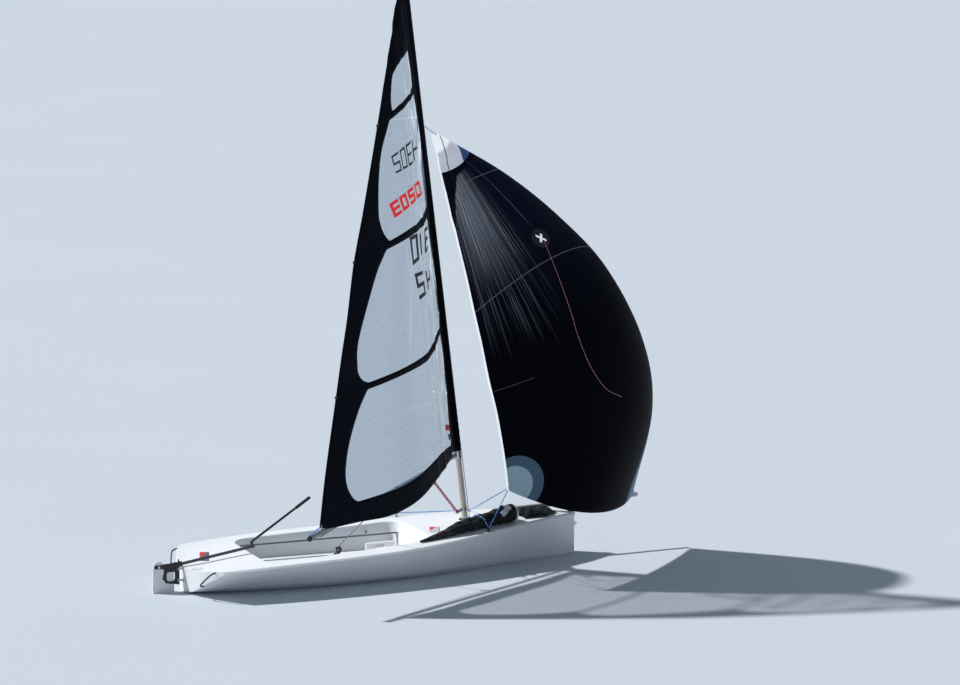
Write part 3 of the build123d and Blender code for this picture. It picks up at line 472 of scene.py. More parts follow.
# The windows from the foot up. Of each: bottom, leech side and top, from the luff or the lower end on, then
# the luff side downwards.
WINDOW_SIDES = (
    (
        ((0.162, 0.105), (0.415, 0.093), (0.669, 0.054), (0.918, 0.014), (1.247, -0.002), (1.825, 0.022)),
        ((1.825, 0.022), (1.879, 0.076), (1.924, 0.196), (1.908, 0.351), (1.817, 0.571), (1.669, 0.797),
         (1.519, 0.961)),
        ((0.113, 1.169), (0.208, 1.105), (0.292, 1.053), (0.426, 1.007), (0.576, 0.979), (0.936, 0.970),
         (1.519, 0.961)),
        ((0.113, 1.169), (0.097, 0.950), (0.105, 0.700), (0.135, 0.420), (0.162, 0.105)),
    ),
    (
        ((0.139, 1.204), (0.262, 1.146), (0.383, 1.089), (0.486, 1.057), (0.626, 1.041), (0.976, 1.026),
         (1.497, 1.018)),
        ((1.497, 1.018), (1.558, 1.053), (1.594, 1.110), (1.595, 1.193), (1.523, 1.424), (1.200, 1.899),
         (0.994, 2.107)),
        ((0.142, 2.229), (0.250, 2.183), (0.409, 2.161), (0.604, 2.140), (0.994, 2.107)),
        ((0.142, 2.229), (0.105, 1.900), (0.085, 1.500), (0.090, 1.320), (0.139, 1.204)),
    ),
    (
        ((0.110, 2.331), (0.191, 2.286), (0.388, 2.231), (0.586, 2.210), (0.934, 2.172)),
        ((0.934, 2.172), (0.990, 2.246), (1.016, 2.337), (1.013, 2.442), (0.937, 2.704), (0.821, 2.959),
         (0.635, 3.206)),
        ((0.115, 3.358), (0.266, 3.311), (0.432, 3.260), (0.635, 3.206)),
        ((0.115, 3.358), (0.092, 3.100), (0.078, 2.850), (0.085, 2.600), (0.110, 2.331)),
    ),
    (
        ((0.134, 3.429), (0.245, 3.376), (0.412, 3.324), (0.575, 3.277)),
        ((0.575, 3.280), (0.568, 3.350), (0.550, 3.409), (0.523, 3.477), (0.493, 3.540), (0.455, 3.592),
         (0.410, 3.632)),
        ((0.139, 3.761), (0.200, 3.738), (0.255, 3.714), (0.322, 3.682), (0.367, 3.660), (0.410, 3.632)),
        ((0.139, 3.759), (0.134, 3.595), (0.134, 3.429)),
    ),
)
# How far each corner is rounded: at the luff and the leech below, then at the leech and the luff above.
CORNER_ROUND = (
    (0.02, 0.03, 0.02, 0.02),
    (0.02, 0.02, 0.02, 0.02),
    (0.02, 0.02, 0.02, 0.02),
    (0.015, 0.015, 0.03, 0.015),
)
BATTEN_DROPS = (0.013, 0.062, 0.060)
ACROSS = 100
UPWARD = 50
BAND_ROWS = 7
HEAD_BAND_ROWS = 21
FINE_STEPS = 24
LEECH_STEPS = 240
TINY = 1e-9


def through_four(before, start, end, after, t):
    """The point a share t of the way from start to end, on a curve that the two outer values steer."""
    pull = (end - before) * t + (2 * before - 5 * start + 4 * end - after) * t ** 2
    return start + 0.5 * (pull + (3 * start - before - 3 * end + after) * t ** 3)


def smooth_through(points, count):
    """A smooth curve through a few points of the plane, with count + 1 points spaced evenly along it."""
    ends = [2 * Vector(points[0]) - Vector(points[1]), *map(Vector, points)]
    ends.append(2 * Vector(points[-1]) - Vector(points[-2]))
    fine = []
    for before, start, end, after in zip(ends, ends[1:], ends[2:], ends[3:]):
        for step in range(FINE_STEPS):
            fine.append(through_four(before, start, end, after, step / FINE_STEPS))
    fine.append(ends[-2])
    return evenly(fine, count)


def evenly(line, count):
    """The same line again, cut into count equal lengths."""
    along = [0.0]
    for first, second in zip(line, line[1:]):
        along.append(along[-1] + (second - first).length)
    spots = []
    piece = 0
    for step in range(count + 1):
        target = along[-1] * step / count
        while piece < len(line) - 2 and along[piece + 1] < target:
            piece += 1
        share = (target - along[piece]) / max(along[piece + 1] - along[piece], TINY)
        spots.append(line[piece].lerp(line[piece + 1], share))
    return spots


leech_line = smooth_through(LEECH_POINTS, LEECH_STEPS)


def leech_x(h):
    """Where the leech is at this height."""
    for low, high in zip(leech_line, leech_line[1:]):
        if high.y >= h:
            return low.x + (high.x - low.x) * (h - low.y) / (high.y - low.y)
    return leech_line[-1].x


def luff_x(h):
    share = (h - LUFF_FOOT[1]) / (LUFF_HEAD[1] - LUFF_FOOT[1])
    return LUFF_FOOT[0] * (1 - share) + LUFF_HEAD[0] * share


def rounded(sides, rounds):
    """Four sides that meet in sharp corners, with each corner drawn as a soft curve."""
    loop = []
    for k, side in enumerate(sides):
        low_round, high_round = rounds[k], rounds[(k + 1) % 4]
        before, after = sides[k - 1], sides[(k + 1) % 4]
        for spot in side[:-1]:
            near_low = (spot - side[0]).length
            near_high = (spot - side[-1]).length
            if near_low < low_round:
                share = 0.5 + near_low / low_round / 2
                loop.append(corner_spot(before, side, low_round, share))
            elif near_high < high_round:
                share = 0.5 - near_high / high_round / 2
                loop.append(corner_spot(side, after, high_round, share))
            else:
                loop.append(spot.copy())
    return loop


def corner_spot(before, after, reach, share):
    """A point of the soft curve that cuts the corner from one side to the next."""
    leave = at_distance(before[::-1], reach)
    join = at_distance(after, reach)
    corner = after[0]
    return leave * (1 - share) ** 2 + corner * (2 * share * (1 - share)) + join * share ** 2


def at_distance(line, reach):
    for first, second in zip(line, line[1:]):
        if (second - line[0]).length >= reach:
            low, high = (first - line[0]).length, (second - line[0]).length
            return first.lerp(second, (reach - low) / max(high - low, TINY))
    return line[-1].copy()


# %% [markdown]
# A cell is filled from two closed outlines with as many steps each: its window's and its own border's. Rows
# of points between the two make the band of cloth. The pane inside is a grid whose points are blended from
# the window's four sides, as a drumskin takes the shape of its rim.

# %% Cells of cloth and panes
LUFF_DROOP = 0.30
FOOT_STEPS, BORDER_STEPS, LEECH_CUTS = 60, 40, 60


def mid_line(lower, upper, drop, count):
    """The border between two cells: from the luff, between the two windows, and out to the leech."""
    low, high = smooth_through(lower, count), smooth_through(upper, count)
    middle = [a.lerp(b, 0.5) for a, b in zip(low, high)]
    luff_h = middle[0].y + LUFF_DROOP * middle[0].x
    leech_h = middle[-1].y - drop
    return [Vector((luff_x(luff_h), luff_h)), *middle, Vector((leech_x(leech_h), leech_h))]


def cell_outline(foot_border, head_border):
    """A cell's border in the order and the steps of its window's outline."""
    foot_side, head_side = evenly(foot_border, ACROSS), evenly(head_border, ACROSS)
    low_h, high_h = foot_side[-1].y, head_side[-1].y
    leech_heights = [low_h + (high_h - low_h) * step / LEECH_CUTS for step in range(LEECH_CUTS + 1)]
    outer_sides = [
        foot_side,
        evenly([Vector((leech_x(h), h)) for h in leech_heights], UPWARD),
        head_side[::-1],
        evenly([head_side[0], foot_side[0]], UPWARD),
    ]
    return [spot for side in outer_sides for spot in side[:-1]]


def pane_grid(loop):
    """Points inside a window's outline, each blended from the four sides."""
    low_side, high_side = loop[: ACROSS + 1], loop[ACROSS + UPWARD: 2 * ACROSS + UPWARD + 1][::-1]
    leech_side = loop[ACROSS: ACROSS + UPWARD + 1]
    luff_side = [*loop[2 * ACROSS + UPWARD:], loop[0]][::-1]
    spots = []
    for row in range(UPWARD + 1):
        v = row / UPWARD
        for step in range(ACROSS + 1):
            u = step / ACROSS
            along = low_side[step] * (1 - v) + high_side[step] * v
            upward = luff_side[row] * (1 - u) + leech_side[row] * u
            low = low_side[0] * (1 - u) + low_side[-1] * u
            high = high_side[0] * (1 - u) + high_side[-1] * u
            spots.append(along + upward - low * (1 - v) - high * v)
    return spots


def grid_faces(rows, steps, first=0):
    """Quads of a grid of points that lie row by row, with steps + 1 points a row."""
    wide = steps + 1
    return [
        (a, a + 1, a + 1 + wide, a + wide)
        for row in range(rows)
        for a in range(first + row * wide, first + row * wide + steps)
    ]


borders = [smooth_through(FOOT_POINTS, FOOT_STEPS)]
for lower, upper, drop in zip(WINDOW_SIDES, WINDOW_SIDES[1:], BATTEN_DROPS):
    borders.append(mid_line(lower[2], upper[0], drop, BORDER_STEPS))
borders.append([Vector(LUFF_HEAD), Vector(HEAD_CORNER)])

cloth_points, cloth_faces, cloth_edge = [], [], []
pane_points, pane_faces = [], []
for k, (bottom, leech, top, luff) in enumerate(WINDOW_SIDES):
    sides = [
        smooth_through(bottom, ACROSS),
        smooth_through(leech, UPWARD),
        smooth_through(top, ACROSS)[::-1],
        smooth_through(luff, UPWARD),
    ]
    loop = rounded(sides, CORNER_ROUND[k])
    outer = cell_outline(borders[k], borders[k + 1])
    rows = BAND_ROWS if k < 3 else HEAD_BAND_ROWS
    first, ring = len(cloth_points), len(loop)
    for row in range(rows + 1):
        for inside, outside in zip(loop, outer):
            cloth_points.append(inside.lerp(outside, row / rows))
            cloth_edge.append((inside - outside).length * row / rows)
    for row in range(rows):
        for step in range(ring):
            a, b = first + row * ring + step, first + row * ring + (step + 1) % ring
            cloth_faces.append((a, b, b + ring, a + ring))
    pane_faces += grid_faces(UPWARD, ACROSS, len(pane_points))
    pane_points += pane_grid(loop)
print("cloth points", len(cloth_points), "pane points", len(pane_points))

# %% [markdown]
# A flat layout becomes a piece through one helper. It makes the mesh, welds the points that neighbouring
# cells share, turns the faces one way and keeps the flat place as a map in metres, for weave and stitching.

# %% Helpers for sewn pieces
WELD = 0.0004


def select_piece(piece):
    drop_selection()
    piece.select_set(True)
    bpy.context.view_layer.objects.active = piece


def sewn_piece(name, flat, spots, faces, held=None):
    """A mesh that keeps its flat cut as a map, and what is held as values at its points."""
    mesh = bpy.data.meshes.new(name)
    mesh.from_pydata([tuple(spot) for spot in spots], [], faces)
    piece = bpy.data.objects.new(name, mesh)
    scene.collection.objects.link(piece)
    for key, values in (held or {}).items():
        mesh.attributes.new(key, "FLOAT", "POINT").data.foreach_set("value", values)
    cut = mesh.uv_layers.new(name="cut")
    for corner in mesh.loops:
        cut.data[corner.index].uv = flat[corner.vertex_index][:2]
    select_piece(piece)
    bpy.ops.object.mode_set(mode="EDIT")
    bpy.ops.mesh.select_all(action="SELECT")
    bpy.ops.mesh.remove_doubles(threshold=WELD)
    bpy.ops.mesh.normals_make_consistent(inside=False)
    bpy.ops.object.mode_set(mode="OBJECT")
    bpy.ops.object.shade_smooth()
    return piece


def thickened(piece, thick, offset=0.0):
    """A wall of even thickness, with its rim closed."""
    select_piece(piece)
    wall = piece.modifiers.new("wall", "SOLIDIFY")
    wall.thickness = thick
    wall.offset = offset
    bpy.ops.object.modifier_apply(modifier=wall.name)
    return piece


def flat_area(points, faces):
    total = 0.0
    for face in faces:
        corners = [points[i] for i in face]
        for first, second in zip(corners, corners[1:] + corners[:1]):
            total += (first.x * second.y - second.x * first.y) / 2
    return abs(total)


def finished(piece, material, body, *stands_for, slot=None):
    """The piece gets its finish and rides on its body."""
    piece.data.materials.clear()
    piece.data.materials.append(material)
    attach(piece, body)
    if stands_for:
        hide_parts(*stands_for)
    return piece


# %% [markdown]
# The sail's dark cloth is a close weave with stitching round the windows and flat panel seams. The windows
# are a clear film that has gone milky along its folds. The film lets light through, so it is partly
# transparent, and where it is milky it gets a painted glow, an emission that stands in for the sky shining
# through it.

# %% Finishes for sailcloth and film
def near(value, line, wide):
    """1 within this many metres of a line, else 0."""
    return (value - line).math("ABSOLUTE") < wide


CLOTH_BLACK = (0.0022, 0.0032, 0.0078, 1)
CLOTH_WORN = (0.006, 0.008, 0.016, 1)
THREAD_GREY = (0.075, 0.08, 0.09, 1)
WEAVE_CYCLES = 300
STITCH_OUT, STITCH_HALF, STITCH_CYCLES = 0.011, 0.0013, 130
PANEL_LEAN, PANEL_SEAM_HALF = 0.22, 0.004
CLOTH_RELIEF = 0.0012


def sailcloth_finish():
    finish = Finish("sail_black", Specular_IOR_Level=0.06)
    x, h = finish.parts(finish.own_map("cut"))[:2]
    edge = finish.held("from_window")
    place = finish.place()
    weave = x.wave(WEAVE_CYCLES) * h.wave(WEAVE_CYCLES)
    cloud = finish.noise(place, 3.5, 5)
    crease = finish.noise(finish.stretched(place, (2.2, 2.2, 0.5)), 5, 4)
    stitches = near(edge, STITCH_OUT, STITCH_HALF) * ((x + h).wave(STITCH_CYCLES) > 0.45)
    panel_seam = near((h + x * PANEL_LEAN).math("FRACT"), 0.5, PANEL_SEAM_HALF)
    finish.bump(weave * 0.12 + crease * 3.0 + panel_seam * 0.8 + stitches * 0.9, CLOTH_RELIEF, 0.5)
    base = finish.mixed(cloud.smooth(0.45, 0.8) * 0.6, CLOTH_BLACK, CLOTH_WORN)
    return finish.show(
        Base_Color=finish.mixed(stitches * 0.8 + panel_seam * 0.12, base, THREAD_GREY),
        Roughness=cloud * 0.2 + 0.42,
    )


FILM_TINT = (0.34, 0.50, 0.64, 1)
FILM_MILK = (0.90, 0.93, 0.96, 1)
# Painted glow: the milky film emits light at this strength.
FILM_PAINTED_GLOW = 0.50
CLEAR = (0, 0, 0, 1)
# Joins and tape of the film are straight lines of the sail's plane: their lean, place and half width.
JOIN_LEAN, JOIN_AT, JOIN_HALF = 0.283, 1.160, 0.0028
JOIN_MIDDLE_H, JOIN_REACH = 1.57, 0.53
UPPER_LEAN, UPPER_AT, UPPER_HALF = -0.12, 3.132, 0.0035
TAPE_LEAN, TAPE_AT, TAPE_HALF = 0.13, 0.520, 0.014
SCRIM_CYCLES = 16


def film_finish():
    finish = Finish("sail_film", Specular_IOR_Level=0.5, Emission_Strength=FILM_PAINTED_GLOW)
    x, h = finish.parts(finish.own_map("cut"))[:2]
    place = finish.place()
    crease = finish.held("from_crease")
    long_folds = finish.noise(finish.stretched(place, (3, 3, 0.45)), 5, 5, 0.6)
    haze = finish.noise(place, 3, 3)
    wisps = finish.noise(finish.stretched(place, (1, 1, 0.4)), 16, 4, 0.6)
    near_luff = 1 - x.smooth(0.10, 0.46)
    fold_line = (1 - crease.smooth(0.001, 0.011)) * (wisps.smooth(0.38, 0.56) * 0.6 + 0.40)
    fold_glow = (1 - crease.smooth(0.0, 0.10)) * wisps.smooth(0.42, 0.70)
    join = near(x + h * JOIN_LEAN, JOIN_AT, JOIN_HALF) * near(h, JOIN_MIDDLE_H, JOIN_REACH) * 0.6
    upper_join = near(h + x * UPPER_LEAN, UPPER_AT, UPPER_HALF) * (h > 2.3) * 0.4
    tape_ends = x.smooth(0.40, 0.60) * (1 - x.smooth(0.6, 1.5))
    tape = near(h - x * TAPE_LEAN, TAPE_AT, TAPE_HALF) * tape_ends * 0.24
    milk = near_luff * long_folds.smooth(0.48, 0.64) * 0.8 + haze.smooth(0.58, 0.95) * 0.2
    milk = (milk + fold_line + fold_glow * 0.32 + join + upper_join + tape).clamped()
    scrim = ((x.wave(SCRIM_CYCLES) > 0.985) + (h.wave(SCRIM_CYCLES) > 0.985)).clamped()
    finish.bump(long_folds * 4.0 + wisps * fold_glow * 1.5 + scrim * 0.3, CLOTH_RELIEF, 0.5)
    return finish.show(
        Base_Color=finish.mixed(milk, FILM_TINT, FILM_MILK),
        Alpha=milk * 0.42 + scrim * 0.06 + 0.30,
        # Painted glow where the film is milky.
        Emission_Color=finish.mixed(milk, CLEAR, FILM_MILK),
        Roughness=milk * 0.25 + 0.10,
    )


sail_black = sailcloth_finish()
sail_film = film_finish()
print("sail finishes ready")

# %% [markdown]
# The film never lies quite flat beside the sleeve, where the cloth is drawn forward: long creases run up
# and down there and die out aft. They are real ripples in the panes and in the cloth between them, not only
# shading.

# %% The sail takes its shape
CREASE_HIGH = 0.0045
CREASE_REACH = 0.34
CREASE_RIDGE, CREASE_RIDGE_WIDE = 0.004, 0.022
CREASE_MIDDLE_X, CREASE_START = 0.16, 0.05
CREASE_CUTS = 26
CREASE_WAVES = ((1, 38, 1.7, 0), (0.6, 71, -2.9, 1.3), (0.35, 23, 19, 0))
CREASE_LINES = (
    ((0.284, 1.068), (0.389, 0.938), (0.397, 0.786), (0.470, 0.690), (0.500, 0.590), (0.430, 0.490),
     (0.358, 0.369), (0.309, 0.259), (0.190, 0.170)),
    ((0.130, 0.590), (0.300, 0.618), (0.470, 0.690)),
    ((0.218, 2.020), (0.263, 1.755), (0.337, 1.579), (0.351, 1.391), (0.297, 1.244), (0.249, 1.175)),
    ((0.297, 1.244), (0.180, 1.290), (0.100, 1.330)),
    ((0.200, 3.290), (0.192, 3.117), (0.218, 2.917), (0.273, 2.693), (0.345, 2.531), (0.378, 2.361)),
)
crease_runs = [smooth_through(line, CREASE_CUTS) for line in CREASE_LINES]


def from_crease(spot):
    """How far a point of the plane is from the nearest crease, in metres."""
    return min((spot - mark).length for run in crease_runs for mark in run)


def waves(table, x, y, base=0.0):
    """A sum of waves. A row is a wave's height, its radians a unit of x and of y, and its start."""
    return sum((high * math.sin(in_x * x + in_y * y + start) for high, in_x, in_y, start in table), base)


def creases(x, h):
    fade = math.exp(-(((x - CREASE_MIDDLE_X) / CREASE_REACH) ** 2))
    fade *= min(max(x - luff_x(h), 0) / CREASE_START, 1)
    return CREASE_HIGH * fade * waves(CREASE_WAVES, x, h)


def on_sail(x, h, lift=0.0):
    """The place on the finished sail of a point of its plane."""
    return rig_spot(x, h, sail_out(x, h) + creases(x, h) + lift)


def set_sail(points, ridges=None):
    ridges = ridges or [0.0] * len(points)
    return [on_sail(p.x, p.y, lift) for p, lift in zip(points, ridges)]


CLOTH_THICK = 0.0018
FILM_THICK = 0.0008
cloth_spots = set_sail(cloth_points)
cloth = sewn_piece("mainsail_cloth", cloth_points, cloth_spots, cloth_faces, {"from_window": cloth_edge})
thickened(cloth, CLOTH_THICK)
finished(cloth, sail_black, "rig", "sail_cloth", slot="sail_black")
pane_crease = [from_crease(spot) for spot in pane_points]
pane_ridges = [CREASE_RIDGE * math.exp(-((far / CREASE_RIDGE_WIDE) ** 2)) for far in pane_crease]
pane_spots = set_sail(pane_points, pane_ridges)
panes = sewn_piece("mainsail_windows", pane_points, pane_spots, pane_faces, {"from_crease": pane_crease})
thickened(panes, FILM_THICK)
finished(panes, sail_film, "rig", "sail_windows", slot="sail_film")
cloth_area = flat_area(cloth_points, cloth_faces)
pane_area = flat_area(pane_points, pane_faces)
print("cloth", round(cloth_area, 2), "m2, film", round(pane_area, 2), "m2")

# %% [markdown]
# The sleeve is a drop-shaped tube of the same cloth: round over the mast in front, and drawn together
# behind it where the sail is sewn on. It is a little loose at the foot, so it wrinkles there.

# %% Sleeve round the mast
SLEEVE_LOW, SLEEVE_HIGH = 0.012, 4.438
SLEEVE_R_LOW, SLEEVE_R_HIGH = 0.0400, 0.0280
SLEEVE_TAIL = 0.026
SLEEVE_ROWS, SLEEVE_ROUND = 260, 36
SLEEVE_THICK = 0.0015
TAIL_STEPS, TAIL_GAP = 3, 0.0011
SLEEVE_LOOSE, SLEEVE_LOOSE_HIGH, SLEEVE_TIGHT = 0.0012, 0.35, 0.0003
SLEEVE_GIRTH = 0.26
CLEAR_OF_STITCHES = 0.5


def sleeve_section(step, radius, loose, h):
    """One point of the drop: its two walls start together at the tail and leave it for the round front."""
    tail = radius + SLEEVE_TAIL
    leave = math.acos(radius / tail)
    last_round = SLEEVE_ROUND - TAIL_STEPS
    if step < TAIL_STEPS:
        shoulder = Vector((math.cos(leave), math.sin(leave))) * radius
        return Vector((tail, -TAIL_GAP)).lerp(shoulder, step / TAIL_STEPS)
    if step > last_round:
        shoulder = Vector((math.cos(leave), -math.sin(leave))) * radius
        return shoulder.lerp(Vector((tail, TAIL_GAP)), (step - last_round) / TAIL_STEPS)
    angle = leave + (2 * math.pi - 2 * leave) * (step - TAIL_STEPS) / (last_round - TAIL_STEPS)
    wrinkle = loose * math.sin(96 * h + 2.2 * math.sin(angle) + 5 * h * h)
    return Vector((math.cos(angle), math.sin(angle))) * (radius + wrinkle)


sleeve_flat, sleeve_spots = [], []
for row in range(SLEEVE_ROWS + 1):
    share = row / SLEEVE_ROWS
    h = SLEEVE_LOW + (SLEEVE_HIGH - SLEEVE_LOW) * share
    radius = SLEEVE_R_LOW + (SLEEVE_R_HIGH - SLEEVE_R_LOW) * share
    loose = SLEEVE_LOOSE * math.exp(-((h / SLEEVE_LOOSE_HIGH) ** 2)) + SLEEVE_TIGHT
    for step in range(SLEEVE_ROUND + 1):
        spot = sleeve_section(step, radius, loose, h)
        sleeve_spots.append(rig_spot(spot.x, h, spot.y))
        sleeve_flat.append((step / SLEEVE_ROUND * SLEEVE_GIRTH, h))
sleeve_faces = grid_faces(SLEEVE_ROWS, SLEEVE_ROUND)
far_from_edge = [CLEAR_OF_STITCHES] * len(sleeve_spots)
sleeve = sewn_piece("mast_sleeve", sleeve_flat, sleeve_spots, sleeve_faces, {"from_window": far_from_edge})
thickened(sleeve, SLEEVE_THICK)
finished(sleeve, sail_black, "rig", "sail_sleeve", slot="sail_black")
print("sleeve", len(sleeve.data.polygons), "faces")

# %% [markdown]
# The kite flies free on three corners, so only wind and cloth shape it. Its surface is told by rows from
# the head to the foot: where the row starts on the leech, where it ends on the luff, how deep it bellies
# and which way. Between the rows every number is interpolated smoothly, and each row is an arc of a circle.

# %% The kite's surface
KITE_ROWS = (
    ((0.495, -0.045, 4.015), (0.578, -0.045, 4.000), 0.008, (-0.10, -1.0, 0.30)),
    ((0.552, -0.180, 3.600), (1.180, -0.150, 3.632), 0.105, (-0.15, -1.0, 0.35)),
    ((0.606, -0.400, 3.022), (1.690, -0.240, 3.210), 0.230, (-0.15, -1.0, 0.25)),
    ((0.670, -0.600, 2.424), (2.140, -0.290, 2.720), 0.340, (-0.20, -1.0, 0.15)),
    ((0.725, -0.770, 1.870), (2.500, -0.300, 2.050), 0.410, (-0.20, -1.0, 0.05)),
    ((0.780, -0.910, 1.380), (2.650, -0.220, 1.380), 0.420, (-0.10, -1.0, -0.10)),
    ((0.809, -1.020, 0.874), (2.565, 0.0, 0.545), 0.330, (0.0, -0.89, -0.46)),
)
KITE_COLUMNS, KITE_LINES = 170, 160
COLUMN_CROWDING = 1.35
KITE_THICK = 0.0012
WIDTH_CUTS, WIDTH_ROWS = 40, 20


def between_rows(column, at):
    """The value at a row number with a fraction, along a smooth curve through the rows."""
    k = min(int(at), len(column) - 2)
    start, end = column[k], column[k + 1]
    before = column[k - 1] if k else 2 * start - end
    after = column[k + 2] if k + 2 < len(column) else 2 * end - start
    return through_four(before, start, end, after, at - k)


kite_leech = [Vector(row[0]) for row in KITE_ROWS]
kite_luff = [Vector(row[1]) for row in KITE_ROWS]
kite_depth = [row[2] for row in KITE_ROWS]
kite_belly = [Vector(row[3]) for row in KITE_ROWS]


def kite_smooth(u, v, lift=0.0):
    """The point a share u of the way from leech to luff and v of the way from head to foot."""
    at = v * (len(KITE_ROWS) - 1)
    start, end, depth, belly = (between_rows(c, at) for c in (kite_leech, kite_luff, kite_depth, kite_belly))
    span = end - start
    way = span.normalized()
    out = (belly - way * belly.dot(way)).normalized()
    half = span.length / 2
    radius = (half ** 2 + depth ** 2) / (2 * depth)
    angle = math.asin(min(1, half / radius)) * (2 * u - 1)
    belly_out = radius * math.cos(angle) - radius + depth + lift
    return start + way * (half + radius * math.sin(angle)) + out * belly_out


def row_width(v):
    """The width of the cloth along its curve, a share v of the way down."""
    spots = [kite_smooth(k / WIDTH_CUTS, v) for k in range(WIDTH_CUTS + 1)]
    return sum((second - first).length for first, second in zip(spots, spots[1:]))


kite_wide = [row_width(row / WIDTH_ROWS) for row in range(WIDTH_ROWS + 1)]
print("kite widths", [round(w, 2) for w in kite_wide[::4]])

# %% [markdown]
# Load runs from the head down into the cloth, and the cloth answers with a fan of long thin pleats. They
# are cut into the surface as ripples over the angle from the head, and the same angle later draws painted
# highlights on their ridges. Beside the leech the cloth folds back on itself, and the finish paints a narrow
# strip of shade there below the head patch.

# %% Pleats
KITE_HEIGHT = 3.9
PLEAT_HIGH = 0.0042
PLEAT_WAVES = ((1, 3.9, 0, 0), (0.5, 6.3, 0, 1.1), (0.4, 1.7, 1, 0))
FAN_ORIGIN = 0.02
FOLD_DEEP, FOLD_SLANT = 0.020, 0.35
FLUTTER_HIGH, FLUTTER_REACH = 0.004, 0.05
FOLD_LINE = (
    (0.0, 0.315), (0.013, 0.298), (0.06, 0.250), (0.10, 0.215), (0.20, 0.165), (0.60, 0.115),
    (1.0, 0.092),
)


def step_up(value, low, high):
    t = min(max((value - low) / (high - low), 0), 1)
    return t * t * (3 - 2 * t)


def width_at(v):
    k = min(int(v * WIDTH_ROWS), WIDTH_ROWS - 1)
    return kite_wide[k] + (kite_wide[k + 1] - kite_wide[k]) * (v * WIDTH_ROWS - k)


def fan_angle(u, v):
    """Degrees from the leech, seen from the head."""
    return math.degrees(math.atan2(u * width_at(v), v * KITE_HEIGHT + FAN_ORIGIN))


def head_reach(u, v):
    return math.hypot(u * width_at(v), v * KITE_HEIGHT)


def fold_side(u, v):
    """Metres from the fold, positive on its leech side."""
    for (u1, v1), (u2, v2) in zip(FOLD_LINE, FOLD_LINE[1:]):
        if u <= u2 or u2 == 1:
            line = v1 + (v2 - v1) * (u - u1) / (u2 - u1)
            return (line - v) * KITE_HEIGHT * FOLD_SLANT
    return -1.0


def kite_ripple(u, v):
    fan, reach = fan_angle(u, v), head_reach(u, v)
    zone = step_up(fan, 0.8, 4) * (1 - step_up(fan, 15, 24))
    zone = zone * step_up(reach, 0.5, 1.0) * (1 - step_up(reach, 2.0, 2.7))
    side = fold_side(u, v)
    fold = step_up(side, -0.004, 0.028) * (1 - step_up(v, 0.26, 0.31)) * step_up(reach, 0.36, 0.46)
    by_leech = math.exp(-u * width_at(v) / FLUTTER_REACH) * step_up(v, 0.1, 0.2)
    flutter = FLUTTER_HIGH * math.sin(9 * v * KITE_HEIGHT) * by_leech
    return PLEAT_HIGH * zone * waves(PLEAT_WAVES, fan, reach) - FOLD_DEEP * fold * (1 - u) + flutter


def kite_spot(u, v, lift=0.0):
    return kite_smooth(u, v, kite_ripple(u, v) + lift)


print("pleats at 10 degrees", round(kite_ripple(0.2, 0.45) * 1000, 2), "mm")

# %% [markdown]
# The kite's mesh is one grid over its surface, with its columns crowded towards the leech, where the detail
# is. Every point also keeps a few distances: across, down, round the fan, and from the head, the clew and
# the patch in the middle. The finish draws tapes, seams and patches from them.

# %% Kite mesh
CLEW_DISC_AT, CLEW_CORE_AT = (0.060, 0.967), (0.046, 0.973)
TAKEDOWN_AT = (0.579, 0.375)
AREA_CUTS = 100
ROUND_FROM = {
    "from_head": kite_smooth(0, 0),
    "from_clew": kite_smooth(*CLEW_DISC_AT),
    "from_core": kite_smooth(*CLEW_CORE_AT),
    "from_takedown": kite_smooth(*TAKEDOWN_AT),
}
shares = [
    ((k / KITE_COLUMNS) ** COLUMN_CROWDING, line / KITE_LINES)
    for line in range(KITE_LINES + 1)
    for k in range(KITE_COLUMNS + 1)
]
kite_spots = [kite_spot(u, v) for u, v in shares]
kite_flat = [(u * width_at(v), v * KITE_HEIGHT) for u, v in shares]
kite_held = {
    "across": [u for u, v in shares],
    "down": [v for u, v in shares],
    "fan": [fan_angle(u, v) for u, v in shares],
    "reach": [head_reach(u, v) for u, v in shares],
    "fold": [fold_side(u, v) for u, v in shares],
    "leech_far": [u * width_at(v) for u, v in shares],
    "luff_far": [(1 - u) * width_at(v) for u, v in shares],
}
for key, middle in ROUND_FROM.items():
    kite_held[key] = [(spot - middle).length for spot in kite_spots]
kite_faces = grid_faces(KITE_LINES, KITE_COLUMNS)
kite = sewn_piece("kite_cloth", kite_flat, kite_spots, kite_faces, kite_held)
thickened(kite, KITE_THICK)
kite_area = sum(width_at((line + 0.5) / AREA_CUTS) for line in range(AREA_CUTS)) / AREA_CUTS * KITE_HEIGHT
print("kite", len(kite.data.polygons), "faces, area", round(kite_area, 2))

# %% [markdown]
# Colours of the kite: nearly black cloth with a painted sheen, bluer and lighter in its upper part and
# paler in a band below the head; a thin pale tape on the leech; a white patch at the head, painted in blue
# shade on its corner and lilac shade on its lower part; round patches in two tones at the clew and at the
# tack; and fine light seams. The tape and the white of the head patch get a painted glow. Each is drawn
# from a distance that the mesh keeps at its points, so its edge stays sharp however large the faces are.

# %% Kite finish
KITE_BLACK = (0.0018, 0.0024, 0.0055, 1)
# The next two colours are painted sheen: a lighter, bluer tone for the upper cloth and a pale band below the
# head.
KITE_SHEEN_NAVY = (0.0072, 0.0100, 0.0250, 1)
KITE_SHEEN_GREY = (0.30, 0.315, 0.355, 1)
# Painted highlight on the ridges of the pleats.
KITE_RIDGE_HIGHLIGHT = (0.72, 0.75, 0.80, 1)
# Painted shade for the strip beside the leech.
KITE_SHADE_DEEP = (0.0015, 0.002, 0.004, 1)
SEAM_GREY = (0.30, 0.31, 0.33, 1)
HEAD_WHITE = (0.88, 0.89, 0.91, 1)
